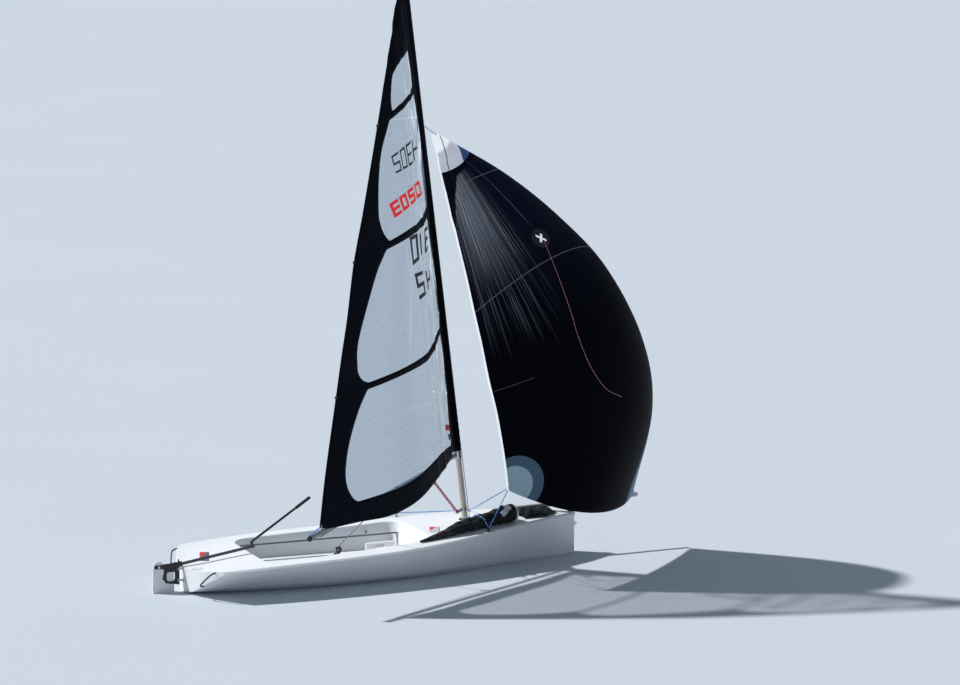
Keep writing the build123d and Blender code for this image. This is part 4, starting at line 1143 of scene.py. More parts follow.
# Painted shade on the head patch: lilac on its lower part, blue on its corner away from the leech.
HEAD_SHADE_LILAC = (0.70, 0.71, 0.80, 1)
HEAD_SHADE_BLUE = (0.070, 0.135, 0.34, 1)
CLEW_OUTER = (0.085, 0.145, 0.200, 1)
CLEW_INNER = (0.36, 0.50, 0.57, 1)
TACK_PALE = (0.22, 0.30, 0.40, 1)
# Painted glow: the white that the head patch and the leech tape emit, and its strength.
GLOW_WHITE = (0.95, 0.96, 1.0, 1)
KITE_PAINTED_GLOW = 0.55
HEAD_PATCH, HEAD_PATCH_SLANT, HEAD_SHADE_FROM = 0.371, 0.09, 0.235
HEAD_STRAP_AT, HEAD_STRAP_HALF, HEAD_STRAP_FROM = 0.088, 0.0045, 0.06
CLEW_PATCH, CLEW_CORE_PATCH = 0.250, 0.168
TACK_DOWN_SCALE, TACK_PATCH, TACK_CORE_PATCH = 11.5, 0.200, 0.140
HEM_WIDE, HEM_FOOT = 0.016, 0.9955
STITCH_IN = 0.010
TAKEDOWN_RINGS, RING_HALF = (0.050, 0.068, 0.088), 0.0016
# A seam is a curve of v over u: its start, slope and bend, and half its width.
KITE_SEAMS = (
    (0.2035, -0.066, 0.0125, 0.0011),
    (0.499, -0.2018, 0.1396, 0.0010),
    (0.712, -0.16, 0.11, 0.0009),
)
RADIAL_SEAM_FAN, RADIAL_SEAM_HALF = 28.4, 0.13


def kite_finish():
    finish = Finish("kite_cloth", Specular_IOR_Level=0.025, Emission_Strength=KITE_PAINTED_GLOW)
    u, v, fan, reach = (finish.held(key) for key in ("across", "down", "fan", "reach"))
    fold, leech_far, luff_far = (finish.held(key) for key in ("fold", "leech_far", "luff_far"))
    head, clew, core, takedown = (finish.held("from_" + key) for key in ("head", "clew", "core", "takedown"))
    s, t = finish.parts(finish.own_map("cut"))[:2]

    # Pleats that run down from the head, with painted sheen, painted highlights on their ridges, and painted
    # shade on the strip beside the leech
    fan_places = finish.node("ShaderNodeCombineXYZ", values={0: fan * 2.1, 1: reach * 0.30})
    streak = finish.noise(fan_places, 1.9, 3, 0.5)
    end_places = finish.node("ShaderNodeCombineXYZ", values={0: fan * 0.9})
    ends = finish.noise(end_places, 2.0, 2, 0.5) * 0.9 + reach
    zone = fan.smooth(0.8, 3) * (1 - fan.smooth(15, 25))
    zone = zone * reach.smooth(0.40, 0.55) * (1 - ends.smooth(1.9, 2.9))
    # Painted sheen: a pale band a little way below the head, fading out further down.
    painted_sheen = fan.smooth(1, 6) * (1 - fan.smooth(11, 20))
    painted_sheen = painted_sheen * reach.smooth(0.42, 0.80) * (1 - reach.smooth(0.95, 1.9))
    # Painted shade on the strip where the cloth folds back beside the leech.
    shade_strip = fold.smooth(-0.003, 0.006)
    # The pleats' crests: they shape the bump and also carry painted highlights.
    ridges = zone * streak.smooth(0.54, 0.64) * (1 - shade_strip * 0.75)
    # Painted sheen: the upper cloth lighter and bluer, the lower part darker.
    colour = finish.mixed(v.smooth(0.20, 0.62), KITE_SHEEN_NAVY, KITE_BLACK)
    colour = finish.mixed(painted_sheen * (1 - shade_strip) * 0.75, colour, KITE_SHEEN_GREY)
    # Painted highlights along the ridges.
    colour = finish.mixed(ridges * 0.55, colour, KITE_RIDGE_HIGHLIGHT)
    colour = finish.mixed(shade_strip * 0.7, colour, KITE_SHADE_DEEP)

    # Seams, and rings of stitching round the middle patch
    high, middle, low = (
        near(v, at + u * slope + u * u * bend, half) for at, slope, bend, half in KITE_SEAMS
    )
    radial = near(fan, RADIAL_SEAM_FAN, RADIAL_SEAM_HALF) * (reach > 0.42) * (1 - v.smooth(0.29, 0.35))
    seams = (high * (u > 0.2) + middle + low * 0.5 * (u < 0.2) + radial).clamped()
    rings = sum(near(takedown, radius, RING_HALF) for radius in TAKEDOWN_RINGS).clamped()
    colour = finish.mixed((seams * 0.55 + rings * 0.5).clamped(), colour, SEAM_GREY)

    # Patches at the clew, the tack and the head, with painted shade on part of the head patch, the tape on
    # the leech and the hems
    outer, inner = clew < CLEW_PATCH, core < CLEW_CORE_PATCH
    colour = finish.mixed(outer, colour, CLEW_OUTER)
    colour = finish.mixed(inner, colour, CLEW_INNER)
    tack_squared = luff_far * luff_far + (1 - v) * (1 - v) * TACK_DOWN_SCALE
    tack_patch = tack_squared < TACK_PATCH
    colour = finish.mixed(tack_patch, colour, CLEW_OUTER)
    colour = finish.mixed(tack_squared < TACK_CORE_PATCH, colour, TACK_PALE)
    head_edge = head - leech_far * HEAD_PATCH_SLANT
    white = head_edge < HEAD_PATCH
    strap = near(leech_far, HEAD_STRAP_AT, HEAD_STRAP_HALF) * (head > HEAD_STRAP_FROM)
    # Painted shade: the corner away from the leech in blue, the lower part in lilac.
    shaded_corner = white * (leech_far > HEAD_SHADE_FROM)
    shaded_lower_part = head.smooth(0.17, 0.21)
    head_colour = finish.mixed(shaded_lower_part * (1 - shaded_corner), HEAD_WHITE, HEAD_SHADE_LILAC)
    colour = finish.mixed(white, colour, head_colour)
    colour = finish.mixed(shaded_corner, colour, HEAD_SHADE_BLUE)
    colour = finish.mixed(white * strap * 0.75, colour, KITE_BLACK)
    tape = leech_far < 0.014 + v * 0.006
    hem = (luff_far < HEM_WIDE) + (v > HEM_FOOT)
    colour = finish.mixed(tape, colour, HEAD_WHITE)

    # Relief: ripstop weave, raised patches, stitches and crinkles
    edges = near(clew, CLEW_PATCH - STITCH_IN, 0.0012) + near(core, CLEW_CORE_PATCH - STITCH_IN, 0.0012)
    edges = edges + near(head_edge, HEAD_PATCH - STITCH_IN, 0.0012)
    stitches = (edges * (s + t).wave(140).smooth(0.4, 0.5) + near(leech_far, 0.009, 0.001)).clamped()
    ripstop = (s.wave(200) + t.wave(200)) * 0.5
    raised = (outer + inner + white + tack_patch + tape + hem) * 0.5 + seams
    crinkle = finish.noise(finish.place(), 26, 4, 0.6)
    crinkle_high = (white + outer * 0.6 + tack_patch * 0.6).clamped() * 2.5 + 0.8
    relief = ripstop * 0.10 + raised * 0.8 + stitches * 0.5 + ridges * 1.6 + crinkle * crinkle_high
    finish.bump(relief, 0.0010, 0.55)
    # Painted glow on the head patch, weaker on its shaded lower part, and on the leech tape.
    head_glow = white * (1 - shaded_corner) * (1 - strap) * (0.95 - shaded_lower_part * 0.60)
    return finish.show(
        Base_Color=finish.mixed(stitches * 0.35, colour, THREAD_GREY),
        Emission_Color=finish.mixed((tape + head_glow).clamped(), CLEAR, GLOW_WHITE),
        Roughness=crinkle * 0.15 + 0.48 - ridges * 0.08,
    )


kite_cloth = kite_finish()
finished(kite, kite_cloth, "root", "kite", slot="kite_cloth")
print("kite finish", len(kite_cloth.node_tree.nodes), "nodes")

# %% [markdown]
# Battens keep the leech out. Each one lies in a pocket along the dark strap between two windows and ends in
# a plastic cap at the leech. A pocket is a flattened tube that follows the same border line as the cells of
# cloth.

# %% Batten pockets and their end caps
POCKET_HALF, POCKET_HIGH = 0.012, 0.0042
POCKET_SIDES, POCKET_CUTS = 12, 70
POCKET_MAP_LONG, POCKET_MAP_STEP = 1.2, 0.004
CAP_SIZE = Vector((0.052, 0.026, 0.014))
CAP_ROUND, CAP_INBOARD = 0.005, 0.018


def tube_faces(rows, steps):
    """The wall of a tube and its two ends."""
    ends = [tuple(range(row * (steps + 1), row * (steps + 1) + steps)) for row in (0, rows)]
    return grid_faces(rows, steps) + ends


def pocket(name, line):
    """A flattened tube along a line of the sail's plane, slim at both ends."""
    spots, flat = [], []
    line = evenly(line, POCKET_CUTS)
    for k, spot in enumerate(line):
        way = (line[min(k + 1, POCKET_CUTS)] - line[max(k - 1, 0)]).normalized()
        side = Vector((-way.y, way.x))
        slim = 0.25 + 0.75 * math.sqrt(max(1 - (abs(2 * k / POCKET_CUTS - 1)) ** 14, 0))
        for step in range(POCKET_SIDES + 1):
            angle = 2 * math.pi * step / POCKET_SIDES
            place = spot + side * (POCKET_HALF * slim * math.cos(angle))
            spots.append(on_sail(place.x, place.y, POCKET_HIGH * slim * math.sin(angle)))
            flat.append((k / POCKET_CUTS * POCKET_MAP_LONG, step * POCKET_MAP_STEP))
    piece = sewn_piece(name, flat, spots, tube_faces(POCKET_CUTS, POCKET_SIDES))
    return finished(piece, sail_black, "rig", slot="sail_black")


def block_shape(name, size, round_by, spot, ways):
    """A rounded box, its three sides along the three ways."""
    drop_selection()
    bpy.ops.mesh.primitive_cube_add(size=1)
    piece = bpy.context.object
    piece.name = name
    bpy.ops.object.mode_set(mode="EDIT")
    bpy.ops.mesh.select_all(action="SELECT")
    bpy.ops.transform.resize(value=size)
    bpy.ops.mesh.bevel(offset=round_by, segments=4, affect="EDGES")
    bpy.ops.object.mode_set(mode="OBJECT")
    piece.data.transform(Matrix.Translation(spot) @ Matrix(ways).transposed().to_4x4())
    bpy.ops.object.shade_smooth_by_angle(angle=math.radians(35))
    return piece


battens = []
for k, border in enumerate(borders[1:4]):
    battens.append(pocket(f"batten_pocket_{k + 1}", border[3:]))
    tip = border[-1]
    way = (border[-1] - border[-2]).normalized()
    run = chord_way * way.x + mast_up * way.y
    across = leeward.cross(run).normalized()
    place = rig_spot(tip.x, tip.y, sail_out(tip.x, tip.y)) - run * CAP_INBOARD
    cap = block_shape(f"batten_cap_{k + 1}", CAP_SIZE, CAP_ROUND, place, (run, across, leeward))
    finished(cap, black_plastic, "rig")
print("battens", [batten.name for batten in battens])

# %% [markdown]
# The figures on the sail are cut from thin film and stuck on. They are plain ones, built from straight
# strokes, and read from port, so they are reversed from starboard. Each stroke is split fine enough to
# follow the sail.

# %% Plain figures on the film
DECAL_LIFT, DECAL_THICK = 0.0028, 0.0005
DECAL_CUTS = 6
WHOLE_FIELD = [(0, 0, 1, 1)]
DIGIT_STROKES = {"0": "abcdef", "1": "bc", "2": "abged", "3": "abgcd", "4": "fgbc"}
# A row: its name, its figures from the leech to the luff, where each starts and ends across the field, the
# stroke's share of a figure's width and height, and the field's corners: at the leech above and below, then
# at the luff below and above.
FIGURE_ROWS = (
    ("number_high", "013", ((0.0, 0.36), (0.50, 0.78), (0.74, 1.0)), (0.24, 0.14),
     ((0.604, 2.140), (0.605, 1.880), (0.203, 1.950), (0.160, 2.150))),
    ("number_low", "24", ((0.0, 0.74), (0.98, 1.40)), (0.24, 0.15),
     ((0.590, 1.802), (0.539, 1.552), (0.330, 1.580), (0.345, 1.790))),
    ("class_black", "2034", ((0.0, 0.22), (0.27, 0.46), (0.51, 0.73), (0.78, 1.0)), (0.15, 0.11),
     ((0.713, 2.893), (0.684, 2.733), (0.211, 2.775), (0.202, 3.001))),
    ("class_red", "3020", ((0.0, 0.23), (0.27, 0.48), (0.53, 0.74), (0.78, 1.0)), (0.30, 0.21),
     ((0.860, 2.491), (0.807, 2.354), (0.217, 2.460), (0.261, 2.596))),
)


def figure_boxes(text, spans, slim, thick):
    """Boxes of the strokes of a row of figures, in shares of its field."""
    half = thick / 2
    strokes = {
        "a": (0, 1 - thick, 1, 1), "g": (0, 0.5 - half, 1, 0.5 + half), "d": (0, 0, 1, thick),
        "f": (1 - slim, 0.5, 1, 1 - half), "e": (1 - slim, half, 1, 0.5),
        "b": (0, 0.5, slim, 1 - half), "c": (0, half, slim, 0.5),
    }
    boxes = []
    for digit, (start, end) in zip(text, spans):
        for x0, y0, x1, y1 in (strokes[stroke] for stroke in DIGIT_STROKES[digit]):
            boxes.append((start + (end - start) * x0, y0, start + (end - start) * x1, y1))
    return boxes


def decal(name, corners, boxes, material):
    """Flat film on the leeward side: boxes inside a four-sided field, counted from its leech end."""
    top_far, low_far, low_near, top_near = map(Vector, corners)
    spots, flat, faces = [], [], []
    for x0, y0, x1, y1 in boxes:
        faces += grid_faces(DECAL_CUTS, DECAL_CUTS, len(spots))
        for row in range(DECAL_CUTS + 1):
            for step in range(DECAL_CUTS + 1):
                u, v = x0 + (x1 - x0) * step / DECAL_CUTS, y0 + (y1 - y0) * row / DECAL_CUTS
                place = low_far.lerp(low_near, u).lerp(top_far.lerp(top_near, u), v)
                spots.append(on_sail(place.x, place.y, DECAL_LIFT))
                flat.append((place.x, place.y))
    piece = thickened(sewn_piece(name, flat, spots, faces), DECAL_THICK, 1.0)
    return finished(piece, material, "rig")


def stuck_film(name, colour, worn, painted_glow=0.0):
    """Thin film on clear film, with a painted glow of its own colour at the given strength."""
    return moulded(name, colour, worn, 0.5, 90, Emission_Color=colour, Emission_Strength=painted_glow)


mark_black = stuck_film("mark_black", (0.010, 0.011, 0.014, 1), (0.03, 0.03, 0.035, 1))
# The red figures get a painted glow, standing in for sun shining through the film.
mark_red = stuck_film("mark_red", (0.72, 0.014, 0.012, 1), (0.76, 0.05, 0.04, 1), 0.45)
marks = []
for name, text, spans, (slim, thick), corners in FIGURE_ROWS:
    material = mark_red if name == "class_red" else mark_black
    marks.append(decal(name, corners, figure_boxes(text, spans, slim, thick), material))
# The red label gets a weaker painted glow.
label_red = stuck_film("label_red", (0.42, 0.030, 0.070, 1), (0.46, 0.07, 0.11, 1), 0.22)
# The small label near the luff is left plain: two patches, with corners in the same order as a field's.
LABEL_ROWS = (
    ("luff_label_red", label_red, ((0.249, 0.318), (0.259, 0.264), (0.158, 0.242), (0.156, 0.292))),
    ("luff_label_dark", mark_black, ((0.216, 0.220), (0.220, 0.165), (0.196, 0.158), (0.176, 0.208))),
)
for name, material, corners in LABEL_ROWS:
    marks.append(decal(name, corners, WHOLE_FIELD, material))
print("marks", [mark.name for mark in marks])

# %% [markdown]
# The ropes drawn here are under load, so they run straight from one fitting to the next; only the
# retrieving line lies in a curve, on the kite's cloth. A rope is a tube of rings along its line. Its own
# map goes round and along it in metres, and the braid is drawn on that map.

# %% Rope maker
ROPE_SIDES = 10
ROUND_STEP, SHORT_STEP, EVEN_STEP, LONG_STEP = 0.006, 0.012, 0.02, 0.03


def rope(name, path, radius, material, body, step_length=LONG_STEP):
    """A tube round a line of points, cut into even steps."""
    points = [Vector(spot) for spot in path]
    length = sum((b - a).length for a, b in zip(points, points[1:]))
    points = evenly(points, max(2, round(length / step_length)))
    side = (points[1] - points[0]).orthogonal().normalized()
    spots, flat = [], []
    along = 0.0
    last = len(points) - 1
    for k, spot in enumerate(points):
        way = (points[min(k + 1, last)] - points[max(k - 1, 0)]).normalized()
        side = (side - way * side.dot(way)).normalized()
        other = way.cross(side)
        along += (spot - points[k - 1]).length if k else 0
        for step in range(ROPE_SIDES + 1):
            angle = 2 * math.pi * step / ROPE_SIDES
            spots.append(spot + (side * math.cos(angle) + other * math.sin(angle)) * radius)
            flat.append((angle * radius, along))
    return finished(sewn_piece(name, flat, spots, tube_faces(last, ROPE_SIDES)), material, body)


def round_turn(centre, start, axis, radius, degrees, count=14):
    """Points on an arc about an axis, beginning in the direction of start."""
    arm = (start - axis * start.dot(axis)).normalized() * radius
    turn = math.radians(degrees)
    return [centre + Matrix.Rotation(turn * k / count, 3, axis) @ arm for k in range(count + 1)]


# %% [markdown]
# A braided rope is two sets of strands that cross on the slant. Each set is a sine wave over the rope's own
# map, and the flecks that a maker weaves in to tell one rope from the other follow one of them.

# %% Rope finishes
BRAID_SLANT = 1.3
BRAID_DEEP = 0.0006
ROPE_DIRT = (0.05, 0.05, 0.05, 1)


def braided(name, colour, fleck, flecks=0.75, pitch=70):
    """Braid: strands that cross on the slant, with a fleck of a second colour along one of them."""
    finish = Finish(name, Specular_IOR_Level=0.25)
    around, along = finish.parts(finish.own_map("cut"))[:2]
    left, right = along + around * BRAID_SLANT, (along - around * BRAID_SLANT).wave(pitch)
    tracer = left.wave(pitch / 3) > flecks
    fuzz = finish.noise(finish.place(), 300, 3)
    finish.bump(left.wave(pitch) * right * 1.5 + fuzz * 0.4, BRAID_DEEP, 0.8)
    base = finish.mixed(tracer * (right * 0.5 + 0.5), colour, fleck)
    return finish.show(Base_Color=finish.mixed(fuzz * 0.25, base, ROPE_DIRT), Roughness=fuzz * 0.2 + 0.62)


rope_red = braided("rope_red_white", (0.55, 0.045, 0.05, 1), (0.75, 0.72, 0.70, 1), 0.45, 60)
rope_blue = braided("rope_blue", (0.050, 0.30, 0.80, 1), (0.50, 0.70, 0.95, 1))
rope_grey = braided("rope_grey", (0.34, 0.33, 0.34, 1), (0.10, 0.10, 0.11, 1))
rope_dark = braided("rope_dark", (0.018, 0.020, 0.026, 1), (0.30, 0.30, 0.32, 1))
rope_white = braided("rope_white", (0.62, 0.63, 0.65, 1), (0.03, 0.03, 0.03, 1))
rope_pink = braided("rope_pink", (0.62, 0.16, 0.18, 1), (0.80, 0.60, 0.60, 1))
print("ropes ready")

# %% [markdown]
# The mainsheet leaves the ratchet block in the cockpit, goes up to the block under the boom and from there
# aft along the boom. The vang is a tackle of four parts between its two blocks. The outhaul and the
# downhaul stretch the sail along the boom and the mast. Where a line turns in a block, its points lie on
# an arc of the sheave's groove.

# %% Mainsheet, vang, outhaul and downhaul
SHEET_R, VANG_R, LINE_R, LASHING_R = 0.0052, 0.0042, 0.0028, 0.0034
BOOM_LINE = ((0.064, -0.031), (2.440, -0.145))
BOOM_R = 0.022
SHEET_BLOCK_X, SHEET_BLOCK_DROP = 1.060, 0.054
SHEET_BLOCK_GROOVE = 0.016
SHEET_AFT_X, SHEET_AFT_DROP = 2.300, 0.034
RATCHET = Vector((-0.430, 0, 0.238))
RATCHET_GROOVE = 0.0205
SHEET_TAIL = 0.075
VANG_HIGH, VANG_LOW = (0.428, -0.190), (0.116, -0.552)
VANG_PARTS = ((0.0105, 0.0), (-0.0105, 0.0), (0.0108, 0.0062), (-0.0108, -0.0062))
CLEW_EYE = (2.262, -0.082)
OUTHAUL_END_X, OUTHAUL_APART = 2.452, 0.005
DOWNHAUL_HIGH, DOWNHAUL_LOW, DOWNHAUL_APART = (0.052, 0.040), (0.046, -0.046), 0.006
HALYARD_UP, HALYARD_OFF, HALYARD_FOOT = 0.02, Vector((0.044, 0.004, 0)), Vector((0.871, 0.004, 0.424))


def boom_spot(x, drop=0.0, out=0.0):
    (x1, h1), (x2, h2) = BOOM_LINE
    return rig_spot(x, h1 + (h2 - h1) * (x - x1) / (x2 - x1) - drop, out)


boom_way = (boom_spot(2.4) - boom_spot(0.1)).normalized()
sheet_run = RATCHET - boom_spot(SHEET_BLOCK_X)
block_axis = boom_way.cross(sheet_run).normalized()
block_down = block_axis.cross(boom_way)
block_spot = boom_spot(SHEET_BLOCK_X) + block_down * SHEET_BLOCK_DROP
turn_axis = Vector((-sheet_run.y, sheet_run.x, 0)).normalized()
up_from_ratchet = (block_spot - RATCHET).normalized()
fore_side = turn_axis.cross(up_from_ratchet)
ratchet_turn = round_turn(RATCHET, fore_side, turn_axis, RATCHET_GROOVE, -200, 18)
sheet_end = ratchet_turn[-1] + (ratchet_turn[-1] - ratchet_turn[-2]).normalized() * SHEET_TAIL
sheet_path = [block_spot + fore_side * SHEET_BLOCK_GROOVE, *ratchet_turn, sheet_end]
rope("mainsheet", sheet_path, SHEET_R, rope_grey, "root", ROUND_STEP)
boom_turn = round_turn(block_spot, fore_side, block_axis, SHEET_BLOCK_GROOVE, 150)
aft_end = boom_spot(SHEET_AFT_X, SHEET_AFT_DROP)
rope("mainsheet_along_boom", [*boom_turn, aft_end], SHEET_R, rope_grey, "rig", EVEN_STEP)

vang_way = (rig_spot(*VANG_HIGH) - rig_spot(*VANG_LOW)).normalized()
vang_side = leeward.cross(vang_way).normalized()
for k, (shift, out) in enumerate(VANG_PARTS):
    ends = [rig_spot(*VANG_LOW, out) + vang_side * shift, rig_spot(*VANG_HIGH, out) + vang_side * shift]
    rope(f"vang_line_{k + 1}", ends, VANG_R, rope_red, "rig", EVEN_STEP)

clew = rig_spot(*CLEW_EYE, sail_out(*CLEW_EYE))
boom_end = boom_spot(OUTHAUL_END_X, -BOOM_R - 0.006)
clew_band = round_turn(boom_spot(CLEW_EYE[0]), mast_up, boom_way, BOOM_R + 0.004, 360, 24)
for k, side in enumerate((1, -1)):
    ends = [spot + leeward * (side * OUTHAUL_APART) for spot in (clew, boom_end)]
    rope(f"outhaul_{k + 1}", ends, LINE_R, rope_blue, "rig", EVEN_STEP)
lashing_path = [clew, *clew_band[:-1], clew - mast_up * 0.004]
rope("clew_lashing", lashing_path, LASHING_R, rope_white, "rig", ROUND_STEP)
for k, side in enumerate((1, -1)):
    ends = [rig_spot(*end, side * DOWNHAUL_APART) for end in (DOWNHAUL_HIGH, DOWNHAUL_LOW)]
    rope(f"downhaul_{k + 1}", ends, LINE_R, rope_red, "rig", EVEN_STEP)
halyard_path = [rig_spot(0, HALYARD_UP) + HALYARD_OFF, HALYARD_FOOT]
rope("halyard_tail", halyard_path, LINE_R, rope_dark, "rig", EVEN_STEP)
print("clew", [round(v, 3) for v in clew])

# %% [markdown]
# The kite has two sheets, tied to its clew. The leeward one turns in a block on the starboard side deck and
# goes inboard over the sock. The windward one passes in front of the mast, through a ring on the port
# foredeck, to the block on the port side deck. The halyard holds the head close to the mast, and the tack
# line runs back along the bow pole.

# %% Kite sheets, halyard and retrieving line
KITE_SHEET_R, RETRIEVE_R = 0.0042, 0.0025
STARBOARD_BLOCK, PORT_BLOCK = Vector((0.855, -0.480, 0.4195)), Vector((0.380, 0.600, 0.3907))
BLOCK_IN, BLOCK_OVER = Vector((0.003, -0.011, 0.0)), Vector((-0.003, 0.006, 0.011))
OVER_SOCK = (
    (0.828, -0.442, 0.495), (0.787, -0.372, 0.5220), (0.785, -0.320, 0.5130), (0.787, -0.270, 0.4800),
)
PORT_RING = Vector((1.000, 0.300, 0.4180))
INBOARD_RING, PORT_WALL_RING = Vector((0.790, -0.105, 0.444)), Vector((0.008, 0.440, 0.275))
KITE_CLEW_AT, KITE_HEAD_AT = (0.012, 0.990), (0.5, 0.004)
MAST_EXIT = (0.452, -0.004, 4.078)
TACK_LINE_PATH = ((2.540, -0.031, 0.478), (1.260, -0.031, 0.452))
RETRIEVE_POINTS = (
    (0.584, 0.383), (0.539, 0.438), (0.503, 0.502), (0.475, 0.570), (0.459, 0.617), (0.465, 0.682),
    (0.508, 0.740), (0.589, 0.769),
)
RETRIEVE_LIFT, RETRIEVE_CUTS, RETRIEVE_STEP = 0.0034, 90, 0.015
CAST_FROM = 1.0


def down_on(part, x, y):
    """The height of a part's top at this place, or None beside it."""
    found, spot = part.ray_cast(Vector((x, y, CAST_FROM)), Vector((0, 0, -1)))[:2]
    return spot.z if found else None


def over_deck(start, end, clear, count=36):
    """A tight line from start to end that bends over the hull's edges wherever it would run through them."""
    spots = [start.lerp(end, k / count) for k in range(count + 1)]
    for spot in spots:
        top = down_on(hull, spot.x, spot.y)
        if top is not None and top + clear > spot.z:
            spot.z = top + clear
    return spots


hull = frame["nodes"]["hull"]
clew_spot = kite_spot(*KITE_CLEW_AT)
round_block = [STARBOARD_BLOCK + BLOCK_IN, STARBOARD_BLOCK + BLOCK_OVER]
starboard_sheet = [clew_spot, *round_block, *OVER_SOCK, INBOARD_RING]
rope("kite_sheet_starboard", starboard_sheet, KITE_SHEET_R, rope_blue, "root", SHORT_STEP)
port_sheet = [clew_spot, *over_deck(PORT_RING, PORT_BLOCK, KITE_SHEET_R)]
rope("kite_sheet_port", port_sheet, KITE_SHEET_R, rope_blue, "root", SHORT_STEP)
head_spot = kite_spot(*KITE_HEAD_AT)
rope("kite_halyard", [head_spot, MAST_EXIT], LINE_R, rope_dark, "root", SHORT_STEP)
rope("tack_line", TACK_LINE_PATH, LINE_R, rope_dark, "root")
retrieve_path = [kite_spot(p.x, p.y, RETRIEVE_LIFT) for p in smooth_through(RETRIEVE_POINTS, RETRIEVE_CUTS)]
rope("retrieving_line", retrieve_path, RETRIEVE_R, rope_pink, "root", RETRIEVE_STEP)
print("kite clew", [round(v, 3) for v in clew_spot])

# %% [markdown]
# Small rings carry the lines: at the clews, at the kite's head, on the deck and on the cockpit's wall. A
# ring starts as a torus, which is its whole shape, and its mesh is turned to its axis and moved to its
# place.

# %% Rings
RING_STEPS, RING_SIDES = 32, 12


def stood(piece, spot, axis):
    """The mesh, made upright at the origin, is turned to its axis and moved to its spot."""
    piece.data.transform(Matrix.Translation(spot) @ axis.to_track_quat("Z", "Y").to_matrix().to_4x4())


def ring_shape(name, centre, axis, big, small, material, body):
    """A round ring lying across its axis."""
    drop_selection()
    bpy.ops.mesh.primitive_torus_add(
        major_radius=big, minor_radius=small, major_segments=RING_STEPS, minor_segments=RING_SIDES
    )
    piece = bpy.context.object
    piece.name = name
    bpy.ops.object.shade_smooth()
    stood(piece, centre, axis)
    return finished(piece, material, body)


clew_across = kite_smooth(0.03, 0.985) - kite_smooth(0.012, 0.99)
clew_down = kite_smooth(0.012, 0.97) - kite_smooth(0.012, 0.99)
kite_out = clew_across.cross(clew_down).normalized()
HEAD_RING_AXIS = Vector((0.3, -1, 0)).normalized()
PORT_RING_AXIS = Vector((-0.6, -0.8, 0))
INBOARD_RING_AXIS = Vector((0.7, 0.7, 0)).normalized()
WALL_RING_AXIS = Vector((-0.6, 0.8, 0)).normalized()
# A ring: its name, place, axis, large and small radius, finish and body.
RING_ROWS = (
    ("clew_ring", clew, leeward, 0.011, 0.0028, steel, "rig"),
    ("kite_clew_ring", clew_spot, kite_out, 0.010, 0.0026, steel, "root"),
    ("kite_head_ring", head_spot, HEAD_RING_AXIS, 0.009, 0.0024, steel, "root"),
    ("port_ring", PORT_RING, PORT_RING_AXIS, 0.010, 0.0028, steel, "root"),
    ("inboard_ring", INBOARD_RING, INBOARD_RING_AXIS, 0.010, 0.0028, steel, "root"),
    ("wall_ring", PORT_WALL_RING, WALL_RING_AXIS, 0.013, 0.003, black_plastic, "root"),
)
for row in RING_ROWS:
    ring_shape(*row)
print("rings", [row[0] for row in RING_ROWS])

# %% [markdown]
# Where the retrieving line is tied to the kite, two strips of webbing cross under the knot. Each is a short
# strip of quads that lies on the kite's own surface, the second a little higher than the first.

# %% Webbing cross where the retrieving line is tied
CROSS_RUNS = ((0.024, 0.0095), (0.024, -0.0095))
CROSS_CUTS = 12
CROSS_LIFT, CROSS_THICK = 0.0012, 0.0014
# The white webbing gets a painted glow, so it stays bright in the kite's shade.
tape_white = stuck_film("tape_white", (0.88, 0.89, 0.91, 1), (0.80, 0.81, 0.84, 1), 0.40)
for k, (du, dv) in enumerate(CROSS_RUNS):
    spots, flat = [], []
    for step in range(CROSS_CUTS + 1):
        share = 2 * step / CROSS_CUTS - 1
        centre = Vector((TAKEDOWN_AT[0] + du * share, TAKEDOWN_AT[1] + dv * share))
        for side in (-1, 0, 1):
            u, v = centre.x + side * dv * 0.42, centre.y - side * du * 0.11
            spots.append(kite_spot(u, v, CROSS_LIFT + CROSS_LIFT * k))
            flat.append((share * 0.045, side * 0.009))
    strip = sewn_piece(f"takedown_webbing_{k + 1}", flat, spots, grid_faces(CROSS_CUTS, 2))
    finished(thickened(strip, CROSS_THICK, 1.0), tape_white, "root")
print("webbing strips", len(CROSS_RUNS))

# %% [markdown]
# The kite drops into a sock of thin cloth that lies along the starboard foredeck. A hoop holds its mouth
# open, and aft of it the empty cloth sags and gathers in folds, so the tube is drawn with deep uneven
# creases and a flat back.

# %% Sock cloth
SOCK_PATH = (
    (1.190, -0.262, 0.4925), (1.100, -0.282, 0.4850), (1.010, -0.300, 0.4730), (0.880, -0.338, 0.4590),
    (0.760, -0.372, 0.4480), (0.600, -0.415, 0.4330), (0.450, -0.455, 0.4010), (0.300, -0.492, 0.3780),
    (0.165, -0.524, 0.3605),
)
SOCK_RADII = (0.078, 0.080, 0.074, 0.070, 0.065, 0.060, 0.040, 0.024, 0.011)
SOCK_COLUMNS, SOCK_LINES = 72, 150
SOCK_THICK = 0.0016
SOCK_LENGTH, SOCK_MAP_RADIUS = 1.09, 0.06
SOCK_FLATTEN, SOCK_WIDEN, SOCK_SETTLED = 0.12, 0.10, (0.05, 0.35)


def along_path(values, share):
    at = share * (len(values) - 1)
    return between_rows(values, min(at, len(values) - 1.0001))


def sock_folds(share, angle):
    """Folds of the empty cloth: none at the hoop, deep a little way aft, then long and shallow."""
    loose = step_up(share, 0.0, 0.10) * (1 - 0.55 * step_up(share, 0.35, 0.75))
    rings = math.sin(58 * share + 2.4 * math.sin(2 * angle + 0.7) + 3.0 * math.sin(9 * share))
    lengths = math.sin(5 * angle + 8 * share + 1.5 * math.sin(14 * share))
    lengths += 0.5 * math.sin(9 * angle - 17 * share)
    return loose * (0.085 * rings + 0.070 * lengths)


